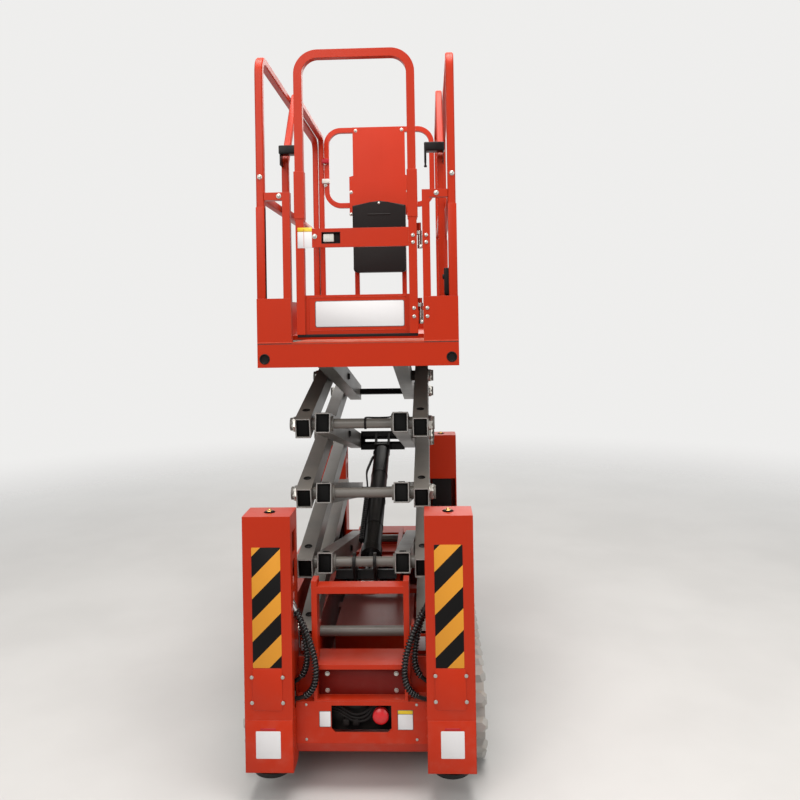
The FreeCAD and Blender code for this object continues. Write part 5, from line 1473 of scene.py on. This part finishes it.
@dataclass
class LegHoses:
    """The four short hydraulic hoses at the near legs, each in a spiral guard.

    Attributes:
        radius: A hose's radius.
        guard_radius: Radius of the guard's turns.
        guard_wire: Radius of the guard's wire.
        guard_pitch: Length of one turn.
        braid_length: Length of the braided sleeve at a hose's top.
        plain_length: Length without a guard at a hose's foot.
        routes: Points of the right side's hoses.
        lengths: Their real lengths; not used.
        plates: The blank plate behind each side's hoses.
    """

    radius: float = 0.0065
    guard_radius: float = 0.0087
    guard_wire: float = 0.0027
    guard_pitch: float = 0.0098
    braid_length: float = 0.040
    plain_length: float = 0.055
    routes: dict[str, tuple[Point, ...]] = field(default_factory=lambda: {
        "outer": ((0.222, -0.805, 0.612), (0.184, -0.812, 0.552), (0.150, -0.824, 0.474),
                  (0.136, -0.828, 0.404), (0.143, -0.826, 0.348), (0.178, -0.814, 0.307),
                  (0.228, -0.805, 0.298)),
        "inner": ((0.222, -0.786, 0.614), (0.192, -0.790, 0.552), (0.171, -0.800, 0.462),
                  (0.169, -0.802, 0.410), (0.187, -0.797, 0.364), (0.228, -0.786, 0.336)),
    })
    lengths: dict[str, float] = field(default_factory=lambda: {"outer": 0.378, "inner": 0.307})
    plates: dict[str, Rectangle] = field(default_factory=lambda: {
        "left": Rectangle(-0.204, -0.177, 0.408, 0.444), "right": Rectangle(0.176, 0.204, 0.408, 0.4535)})

    def build(self) -> None:
        """Makes the hoses, their guards and the plates behind them."""
        for side_name, side in SIDES.items():
            for name, route in self.routes.items():
                points = [(side * x, y, z) for x, y, z in route]
                self._hose(f"{name}_{side_name}", points)
        for side_name, side in SIDES.items():
            bracket = Shaper(f"plate_bracket_{side_name}")
            bracket.block((side * 0.172, -0.7000, 0.396), (side * 0.2072, -0.6965, 0.462), 0.001)
            bracket.finish(Paint.RED, "chassis")
            face_plate(f"blank_plate_{side_name}", self.plates[side_name], -0.7000, -1.0, 0.002, 0.0008,
                       Paint.SIGN, "chassis")

    def _hose(self, place: str, points: Sequence[Point]) -> None:
        """Makes one hose and its guard.

        Args:
            place: End of its name.
            points: Its route.
        """
        data = bpy.data.curves.new(f"leg_hose_{place}", "CURVE")
        data.dimensions = "3D"
        spline = data.splines.new("NURBS")
        spline.points.add(len(points) - 1)
        for target, point in zip(spline.points, points):
            target.co = (*point, 1.0)
        spline.order_u = 3
        spline.use_endpoint_u = True
        data.resolution_u = 24
        hose = bpy.data.objects.new(f"leg_hose_{place}", data)
        bpy.context.scene.collection.objects.link(hose)
        line_mesh = bpy.data.meshes.new_from_object(hose)
        line = [vertex.co.copy() for vertex in line_mesh.vertices]
        bpy.data.meshes.remove(line_mesh)
        data.bevel_depth = self.radius
        data.bevel_resolution = 5
        data.use_fill_caps = True
        data.materials.append(Paint.HOSE.material)
        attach(hose, "chassis")
        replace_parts(hose, f"hose_{place}")
        guard = self._guard(place, line)

    def _guard(self, place: str, line: Sequence[Vector]) -> bpy.types.Object:
        """Winds a spiral guard round a hose, below a braided sleeve.

        Args:
            place: End of its name.
            line: The hose's middle line.

        Returns:
            The guard.
        """
        steps = [0.0]
        for first, second in zip(line, line[1:]):
            steps.append(steps[-1] + (second - first).length)
        start, end = self.braid_length, steps[-1] - self.plain_length
        count = int((end - start) / self.guard_pitch * 10)
        normal = (line[1] - line[0]).orthogonal().normalized()
        points, segment = [], 0
        for index in range(count + 1):
            at = start + (end - start) * index / count
            while steps[segment + 1] < at:
                segment += 1
            share = (at - steps[segment]) / (steps[segment + 1] - steps[segment])
            ahead = (line[segment + 1] - line[segment]).normalized()
            normal = (normal - ahead * normal.dot(ahead)).normalized()
            angle = 2 * math.pi * (at - start) / self.guard_pitch
            out = normal * math.cos(angle) + ahead.cross(normal) * math.sin(angle)
            points.append(line[segment].lerp(line[segment + 1], share) + out * self.guard_radius)
        sleeve = [spot for spot, at in zip(line, steps) if 0.012 < at < self.braid_length - 0.002]
        paint = Paint.BRAID if place.endswith("left") else Paint.HOSE
        Shaper(f"hose_braid_{place}").pipe(sleeve, 0.0082, 16).finish(paint, "chassis", 60.0)
        guard = Shaper(f"hose_guard_{place}").pipe(points, self.guard_wire, 6)
        return guard.finish(Paint.GUARD, "chassis", 70.0)


@dataclass
class PlatformTrim(Trim):
    """The platform's side rails, and the plugs, bolts, strips and socket of its entry end."""

    front_y: float = -0.730
    frame_y: float = -0.727
    plug_spot: tuple[float, float] = (0.304, 1.368)
    plug: Outline = ((-0.010, 0.0140), (0.0, 0.0140), (0.0, 0.0172), (0.0016, 0.0166), (0.0022, 0.0150),
                     (0.0006, 0.0132), (-0.004, 0.0120), (-0.005, 0.004))
    socket: Outline = ((0, 0.0085), (0.004, 0.0085), (0.005, 0.0075), (0.003, 0.0060), (0.001, 0.003))
    post_bolts: Spots = ((-0.3115, 1.962), (0.3135, 1.961), (-0.250, 1.8985), (0.262, 1.8985))
    deck_z: float = 1.420
    half_width: float = 0.3275
    opening_half: float = 0.215
    rail_x: float = 0.3115
    rail_ends: tuple[float, float] = (-0.714, 0.553)
    rail_top: float = 2.369

    def build(self) -> None:
        """Fits the platform's trim."""
        plugs = Shaper("end_member_plugs")
        for side in SIDES.values():
            plugs.turned((side * self.plug_spot[0], self.front_y, self.plug_spot[1]), BACK, self.plug, 36)
        plugs.finish(Paint.PLASTIC, "platform", 30.0)
        bolts = [(x, self.frame_y - 0.0003, z) for x, z in self.post_bolts]
        self.setter.set("entry_post_bolts", Fastener.POST_BOLT, Paint.ZINC, "platform", bolts, BACK)
        screws = [(0.2275, y, z) for y, z in ((self.frame_y, 1.740), (self.frame_y, 1.763),
                                              (self.front_y, 1.500), (self.front_y, 1.527))]
        self.setter.set("hinge_post_screws", Fastener.PAN_SCREW, Paint.ZINC, "platform", screws, BACK)
        self._entry_edge()
        self._socket()
        self._weld_seams()
        self._guard_rails()

    def _entry_edge(self) -> None:
        """Lays the tread strip, pale salmon with a painted sheen, and the rubbed lip, lightened by a painted
        highlight, at the entry's sill.
        """
        # Salmon tread strip: red with a painted sheen of the sky's reflection.
        Shaper("entry_sill_strip").block(
            (-self.opening_half, self.front_y - 0.0006, self.deck_z - 0.0035),
            (self.opening_half, self.front_y + 0.2985, self.deck_z + 0.0012), 0.0005, 1,
        ).finish(Paint.RED_TREAD_SHEEN, "platform")
        # Rubbed lip: real wear with a painted highlight along the sill's edge.
        Shaper("entry_sill_lip").block(
            (-self.half_width, self.front_y - 0.0012, self.deck_z - 0.0016),
            (self.half_width, self.front_y + 0.0004, self.deck_z + 0.0022), 0.0007,
        ).finish(Paint.RUBBED_RED_AND_HIGHLIGHT, "platform")

    def _socket(self) -> None:
        """Fits the black socket behind the right rear post."""
        box = Shaper("control_socket").block((0.2835, -0.7005, 1.569), (0.309, -0.676, 1.657), 0.003, 3)
        box.block((0.2865, -0.694, 1.561), (0.306, -0.681, 1.5695), 0.002)
        box.turned((0.2835, -0.6885, 1.628), (-1, 0, 0), self.socket, 24)
        box.finish(Paint.PLASTIC, "platform")

    def _guard_rails(self) -> None:
        """Builds the two side rails: sleeved square posts, the bent top tube and the middle rail."""
        near, far = self.rail_ends
        x, top = self.rail_x, self.rail_top - 0.013
        for side_name, side in SIDES.items():
            path = [(side * x, near, self.deck_z), (side * x, near, top), (side * x, far, top),
                    (side * x, far, self.deck_z)]
            rail = Shaper(f"side_rail_{side_name}").square_tube(path, 0.013, 0.060)
            rail.block((side * (x - 0.012), near, 1.886), (side * (x + 0.012), far, 1.910), 0.002)
            for y in (near, far):
                rail.block((side * (x - 0.013), y - 0.0133, 1.565),
                           (side * (x + 0.015), y + 0.0133, 1.864), 0.0015)
            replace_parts(rail.finish(Paint.RED, "platform", 30.0), f"guard_rail_{side_name}")

    def _weld_seams(self) -> None:
        """Lays the thin beads where the toe boards meet the end member and the entry frames."""
        beads = Shaper("toe_board_beads")
        y = self.front_y - 0.0002
        for side in SIDES.values():
            beads.pipe([(side * x, y, self.deck_z + 0.0015) for x in (self.opening_half, self.half_width)],
                       0.0012, 8)
            beads.pipe([(side * (self.opening_half + 0.0005), y, z) for z in (1.4215, 1.5645)], 0.0008, 8)
        # Pale rubbed red: partly wear, partly a painted highlight along the beads.
        beads.finish(Paint.RUBBED_RED_AND_HIGHLIGHT, "platform")


@dataclass
class GateTrim(Trim):
    """Latch, hinges, sleeves, screws, signs and beads of the gate, and a black strip of painted shadow under
    it.
    """

    front_y: float = -0.727
    rail_back_y: float = -0.711
    panel_y: float = -0.7155
    edge_x: float = 0.170
    hinge: tuple[float, float] = (0.206, -0.704)
    hinge_spans: Spots = ((1.476, 1.544), (1.721, 1.779))
    coil_radius: float = 0.0058
    coil_pitch: float = 0.0042
    screw_heights: tuple[float, ...] = (1.740, 1.763, 1.500, 1.527)
    latch: Rectangle = Rectangle(-0.112, -0.052, 1.7415, 1.7775)
    sign: Rectangle = Rectangle(-0.1905, -0.1435, 1.727, 1.780)
    header: Rectangle = Rectangle(-0.1905, -0.1435, 1.7805, 1.794)
    kick_sign: Rectangle = Rectangle(-0.1366, 0.151, 1.4705, 1.5528)
    kick_bead: Rectangle = Rectangle(-0.158, 0.158, 1.4585, 1.5665)

    def build(self) -> None:
        """Fits the gate's trim."""
        self._latch()
        for name, area, y, corner, thick, paint in (
                ("gate_sign", self.sign, self.front_y, 0.002, 0.0006, Paint.SIGN),
                ("gate_sign_header", self.header, self.front_y, 0.001, 0.0006, Paint.SIGN_YELLOW),
                ("kick_panel_sign_rim", self.kick_sign.grown(0.002), self.panel_y, 0.006, 0.0005,
                 Paint.SIGN_EDGE),
                ("kick_panel_sign", self.kick_sign, self.panel_y, 0.005, 0.0010, Paint.SIGN)):
            face_plate(name, area, y, -1.0, corner, thick, paint, "gate")
        self._hinge_springs()
        sleeves = Shaper("gate_sleeves")
        for side in SIDES.values():
            sleeves.block((side * 0.1672, -0.7287, 1.823), (side * 0.2008, -0.6963, 1.977), 0.0008, 1)
        sleeves.finish(Paint.RED, "gate", 15.0)
        bead = Shaper("kick_panel_bead").pipe(self.kick_bead.loop(self.panel_y - 0.0001), 0.0011, 8)
        bead.finish(Paint.RED, "gate")
        # A black strip under the gate: painted shadow in the gap below it.
        shadow_strip = Shaper("gate_bottom_shadow_strip").block((-0.1965, -0.7245, 1.4365), (0.1965, -0.7050, 1.4462), 0.0015)
        shadow_strip.finish(Paint.PLASTIC, "gate")
        screws = [(0.1845, self.front_y, z) for z in self.screw_heights]
        self.setter.set("hinge_gate_screws", Fastener.PAN_SCREW, Paint.ZINC, "gate", screws, BACK)
        self.setter.set("latch_bolt", Fastener.POST_BOLT, Paint.ZINC, "gate",
                        [(-0.1345, self.front_y, 1.7645)], BACK)
        self._beads()

    def _hinge_springs(self) -> None:
        """Fits the sprung silver hinges in the gap beside the gate."""
        knuckles, springs = Shaper("hinge_knuckles"), Shaper("hinge_springs")
        x, y = self.hinge
        for low, high in self.hinge_spans:
            length = high - low
            foot = [(0, 0.0074), (0.012, 0.0074), (0.013, 0.0048), (length - 0.014, 0.0048)]
            springs.turned((x, y, low), UP, foot, 20)
            steps = int((length - 0.028) / self.coil_pitch * 12)
            turns = circle((x, y, low + 0.0135), self.coil_radius, ACROSS, ALONG, 12, steps - 1)
            coil = [spot + Vector(UP) * (self.coil_pitch * step / 12) for step, spot in enumerate(turns)]
            springs.pipe(coil, 0.0014, 6)
            knuckles.turned((x, y, high), (0, 0, -1), [(0, 0.0066), (0.0012, 0.0074), (0.013, 0.0074)], 20)
            for side, shaper, z in ((-1, knuckles, high - 0.0065), (1, springs, low + 0.0060)):
                shaper.block((x, y - 0.0075, z - 0.0055), (x + side * 0.0125, y - 0.0055, z + 0.0055),
                             0.0005, 1)
        knuckles.finish(Paint.ZINC, "gate")
        springs.finish(Paint.ZINC, "platform", 60.0)

    def _latch(self) -> None:
        """Builds the latch case behind the window, with its white slider."""
        here = self.latch
        case = Shaper("latch_case").block((here.left - 0.006, self.rail_back_y - 0.0004, here.low - 0.004),
                                          (here.right + 0.006, self.rail_back_y + 0.014, here.high + 0.004),
                                          0.003, 3)
        case.pipe(here.loop(self.front_y + 0.0006), 0.0013, 8).finish(Paint.PLASTIC, "gate")
        slider = Shaper("latch_slider").block(
            (here.left + 0.0045, self.front_y + 0.0025, here.low + 0.005),
            (here.left + 0.0390, self.rail_back_y - 0.0002, here.high - 0.005), 0.003, 4)
        for step in range(4):
            x = here.left + 0.012 + 0.0065 * step
            slider.block((x, self.front_y + 0.0018, here.low + 0.009),
                         (x + 0.0025, self.front_y + 0.0032, here.high - 0.009), 0.0006)
        slider.finish(Paint.WHITE, "gate")

    def _beads(self) -> None:
        """Lays the weld beads where the middle rail and the panel meet the arch."""
        beads = Shaper("gate_beads")
        for side in SIDES.values():
            for y, low, high, radius in ((self.front_y - 0.0001, 1.7295, 1.7895, 0.0009),
                                         (self.panel_y - 0.0008, 1.4465, 1.5735, 0.0012)):
                beads.pipe([(side * self.edge_x, y, low), (side * self.edge_x, y, high)], radius, 8)
        # Pale rubbed red: partly wear, partly a painted highlight along the beads.
        beads.finish(Paint.RUBBED_RED_AND_HIGHLIGHT, "gate")


@dataclass
class FarEndTrim(Trim):
    """The sliding deck's rails, document box, hoods, clips and bolts.

    Attributes:
        box_y: Front and back of the document box.
        half: Half the box's width.
        low: Height of its bottom.
        side_z: Height of the lid's outer corners.
        peak_z: Height of the lid's middle.
        lid_z: Height where the lid meets the body.
        corner: Radius of the body's lower corners.
        rail_x: Distance of the rails from the middle.
        rail_ends: Y of a rail's near and far posts.
        rail_base: Height of the rails' feet.
        rail_top: Height of their top.
        bolts: X and Z of the far plate's bolts.
        clips: X and Z of the pin clips, with their finishes.
    """

    box_y: tuple[float, float] = (0.4685, 0.5385)
    half: float = 0.127
    low: float = 1.710
    side_z: float = 2.030
    peak_z: float = 2.052
    lid_z: float = 1.876
    corner: float = 0.016
    rail_x: float = 0.2830
    rail_ends: tuple[float, float] = (-0.4175, 0.5535)
    rail_base: float = 1.4363
    rail_top: float = 2.385
    bolts: Spots = ((-0.112, 2.404), (0.112, 2.404), (-0.262, 2.142), (0.140, 1.998), (-0.140, 1.998),
                    (0.138, 2.105), (-0.138, 2.105))
    clips: tuple[tuple[float, float, Paint], ...] = ((-0.2605, 2.259, Paint.SIGN_RED),
                                                     (-0.2605, 2.161, Paint.WHITE))
    hood_pin: Outline = ((0, 0.0035), (0.010, 0.0035), (0.011, 0.0055), (0.016, 0.0055), (0.017, 0.004))

    def build(self) -> None:
        """Fits the far end's trim."""
        self._document_box()
        self._clips()
        self._side_rails()
        self._hoods()
        spots = [tuple(self.probe.meet("far_frame", (x, 0.3, z), ALONG)) for x, z in self.bolts]
        self.setter.set("far_plate_bolts", Fastener.POST_BOLT, Paint.ZINC, "extension", spots, BACK)

    def _side_rails(self) -> None:
        """Builds the rails, whose near posts slope up from a knee to the top tube."""
        near, far = self.rail_ends
        base, top = self.rail_base, self.rail_top - 0.0125
        rails = Shaper("sliding_rails")
        for side in SIDES.values():
            x = side * self.rail_x
            path = [(x, near, base), (x, near, 2.070), (x, near + 0.230, top), (x, far, top), (x, far, base)]
            rails.square_tube(path, 0.0125, 0.040)
            rails.block((x - side * 0.010, near, 1.878), (x + side * 0.010, far, 1.898), 0.002)
            rails.block((x - side * 0.003, near, base), (x + side * 0.003, far, base + 0.110))
        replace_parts(rails.finish(Paint.RED, "extension", 30.0), "extension_rails")

    def _hoods(self) -> None:
        """Fits the thick black hoods over the near posts' handles."""
        hoods = Shaper("handle_hoods")
        for side in SIDES.values():
            hoods.block((side * 0.2238, -0.4768, 2.088), (side * 0.2968, -0.4285, 2.119), 0.004, 3)
            hoods.block((side * 0.2238, -0.4768, 2.046), (side * 0.2320, -0.4560, 2.092), 0.002)
            hoods.turned((side * 0.2279, -0.4665, 2.047), (0, 0, -1), self.hood_pin, 16)
        hoods.finish(Paint.BLACK, "extension")

    def _slab(self, shaper: Shaper, outline: Outline, front_y: float, rounding: float) -> None:
        """Adds an upright slab up to the box's back, its front edges rounded."""
        rings = [[shaper.mesh.verts.new((x, y, z)) for x, z in outline] for y in (front_y, self.box_y[1])]
        shaper.skin(rings)
        front = set(rings[0])
        edges = [edge for edge in shaper.mesh.edges if front.issuperset(edge.verts)]
        bmesh.ops.bevel(shaper.mesh, geom=edges, offset=rounding, segments=4, affect="EDGES", profile=0.5)

    def _document_box(self) -> None:
        """Builds the moulded box: a body with rounded lower corners, and a peaked lid with its notches."""
        front = self.box_y[0]
        half, turn = self.half - 0.0015, self.corner
        body = [(half, self.lid_z), (-half, self.lid_z)]
        for start, sign in ((math.pi, -1), (1.5 * math.pi, 1)):
            for step in range(7):
                angle = start + math.pi / 12 * step
                body.append((sign * (half - turn) + turn * math.cos(angle),
                             self.low + 0.0015 + turn + turn * math.sin(angle)))
        slope, foot = self.peak_z - 0.006, self.lid_z + 0.0025
        lid = [(self.half, self.side_z), (self.half / 3, slope), (0, self.peak_z), (-self.half / 3, slope),
               (-self.half, self.side_z), (-self.half, foot), (self.half, foot)]
        box = Shaper("document_box_shell")
        self._slab(box, body, front + 0.003, 0.008)
        self._slab(box, lid, front, 0.007)
        for x in (-0.060, -0.022, 0.022, 0.060):
            box.block((x - 0.006, front + 0.010, self.side_z + 0.004),
                      (x + 0.006, front + 0.030, self.peak_z - 0.003 - abs(x) * 0.12), 0.0018)
        box.block((-0.055, front - 0.0022, 1.984), (0.055, front + 0.003, 1.9885), 0.0015)
        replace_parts(box.finish(Paint.PLASTIC, "extension", 35.0), "document_box")
        self.setter.set("document_box_bolt", Fastener.PAN_SCREW, Paint.ZINC, "extension",
                        [(0.0, front + 0.0005, self.peak_z - 0.012)], BACK)

    def _clips(self) -> None:
        """Fits the red and the white pin clip on the far loop."""
        for index, (x, z, paint) in enumerate(self.clips, 1):
            clip = Shaper(f"pin_clip_{index}")
            clip.block((x - 0.018, 0.530, z - 0.011), (x + 0.018, 0.5425, z + 0.011), 0.003, 3)
            clip.finish(paint, "extension")
            ring = circle((x, 0.5335, z - 0.010), 0.008, ACROSS, UP, 16, 14)
            Shaper(f"pin_clip_ring_{index}").pipe(ring, 0.0011, 8).finish(Paint.ZINC, "extension")


@dataclass
class UndercarriageTrim(Trim):
    """Hub covers, roller caps and bolts on the outside of the two tracks."""

    hub_y: float = 0.554
    middle_z: float = 0.158
    beam_x: float = 0.3635
    bolt_circle: float = 0.052
    roller_y: tuple[float, ...] = (-0.38, -0.19, 0.0, 0.19, 0.38)
    roller_z: float = 0.066
    hub: Outline = ((-0.002, 0.062), (0.006, 0.062), (0.008, 0.060), (0.009, 0.044), (0.013, 0.042),
                    (0.018, 0.026), (0.021, 0.020), (0.021, 0.004))
    roller: Outline = ((-0.03, 0.024), (0.003, 0.024), (0.005, 0.021), (0.007, 0.012), (0.007, 0.003))

    def build(self) -> None:
        """Fits both sides."""
        bolts, ways = [], []
        for side_name, side in SIDES.items():
            caps = Shaper(f"hub_covers_{side_name}")
            for end in ENDS.values():
                caps.turned((side * self.beam_x, end * self.hub_y, self.middle_z), (side, 0, 0), self.hub, 48)
                for step in range(6):
                    angle = math.pi / 3 * step + 0.3
                    bolts.append((side * (self.beam_x + 0.0080),
                                  end * self.hub_y + self.bolt_circle * math.cos(angle),
                                  self.middle_z + self.bolt_circle * math.sin(angle)))
                    ways.append((side, 0, 0))
            for y in self.roller_y:
                caps.turned((side * self.beam_x, y, self.roller_z), (side, 0, 0), self.roller, 28)
            caps.finish(Paint.BLACK, "chassis", 30.0)
        self.setter.set("hub_bolts", Fastener.HEX_SMALL, Paint.ZINC, "chassis", bolts, *ways)


@dataclass
class CabinetTrim(Trim):
    """Doors, louvres, screws and locks on the two side cabinets."""

    face_x: float = 0.352
    low: float = 0.352
    high: float = 0.478
    doors: Spots = ((-0.690, -0.240), (-0.225, 0.225), (0.240, 0.690))
    lock: Outline = ((0, 0.0135), (0.002, 0.0135), (0.0035, 0.0120), (0.0025, 0.0085), (0.0020, 0.002))
    louvre_rows: int = 7
    louvre_pitch: float = 0.0125
    louvre_spans: Spots = ((-0.135, -0.010), (0.010, 0.135))

    def build(self) -> None:
        """Fits both cabinets."""
        middle_z, half_height = (self.low + self.high) / 2, (self.high - self.low) / 2
        for side_name, side in SIDES.items():
            screws, locks = [], Shaper(f"cabinet_locks_{side_name}")
            out = (side, 0, 0)
            for index, (start, end) in enumerate(self.doors, 1):
                door = Shaper(f"cabinet_door_{side_name}_{index}")
                door.plate((side * self.face_x, (start + end) / 2, middle_z), (0, side, 0), UP,
                           ((end - start) / 2, half_height), 0.010, 0.0022).finish(Paint.RED, "chassis")
                screws += [(side * (self.face_x + 0.0021), y, z) for y in (start + 0.018, end - 0.018)
                           for z in (self.low + 0.016, self.high - 0.016)]
                x, y = side * (self.face_x + 0.0018), end - 0.070
                locks.turned((x, y, middle_z), out, self.lock, 28)
                locks.block((x - 0.0005, y - 0.0075, middle_z - 0.0016),
                            (x + 0.0035, y + 0.0075, middle_z + 0.0016), 0.0004, 1)
            locks.finish(Paint.ZINC, "chassis")
            self.setter.set(f"cabinet_screws_{side_name}", Fastener.PAN_SCREW, Paint.ZINC, "chassis", screws,
                            out)
            self._louvres(side_name, side)

    def _louvres(self, side_name: str, side: float) -> None:
        """Presses rows of hooded louvres into the middle door."""
        hoods = Shaper(f"cabinet_louvres_{side_name}")
        face = self.face_x + 0.0020
        for row in range(self.louvre_rows):
            low = self.low + 0.020 + self.louvre_pitch * row
            section = [(0.0, low + 0.0085), (0.0035, low + 0.0060), (0.0046, low + 0.0030), (0.0046, low),
                       (0.0, low)]
            for span in self.louvre_spans:
                hoods.skin([[hoods.mesh.verts.new((side * (face + out), y, z)) for out, z in section]
                            for y in span])
        hoods.finish(Paint.RED, "chassis", 50.0)


def main() -> None:
    """Builds the studio and every sub-assembly in order."""
    logging.basicConfig(level=logging.INFO, format="%(name)s: %(message)s")
    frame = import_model()
    Paint.mix_all()
    Studio().build()
    LegHoses().build()
    Coats(frame["nodes"]).wear()
    setter, probe = FastenerSetter(), Probe(frame["nodes"])
    for assembly in (CornerLegs, EndPanels, ScissorTrim, BarrelTrim, PlatformTrim, GateTrim, FarEndTrim,
                     UndercarriageTrim, CabinetTrim):
        assembly(setter, probe).build()
        LOG.info("%s built", assembly.__name__)


if __name__ == "__main__":
    main()
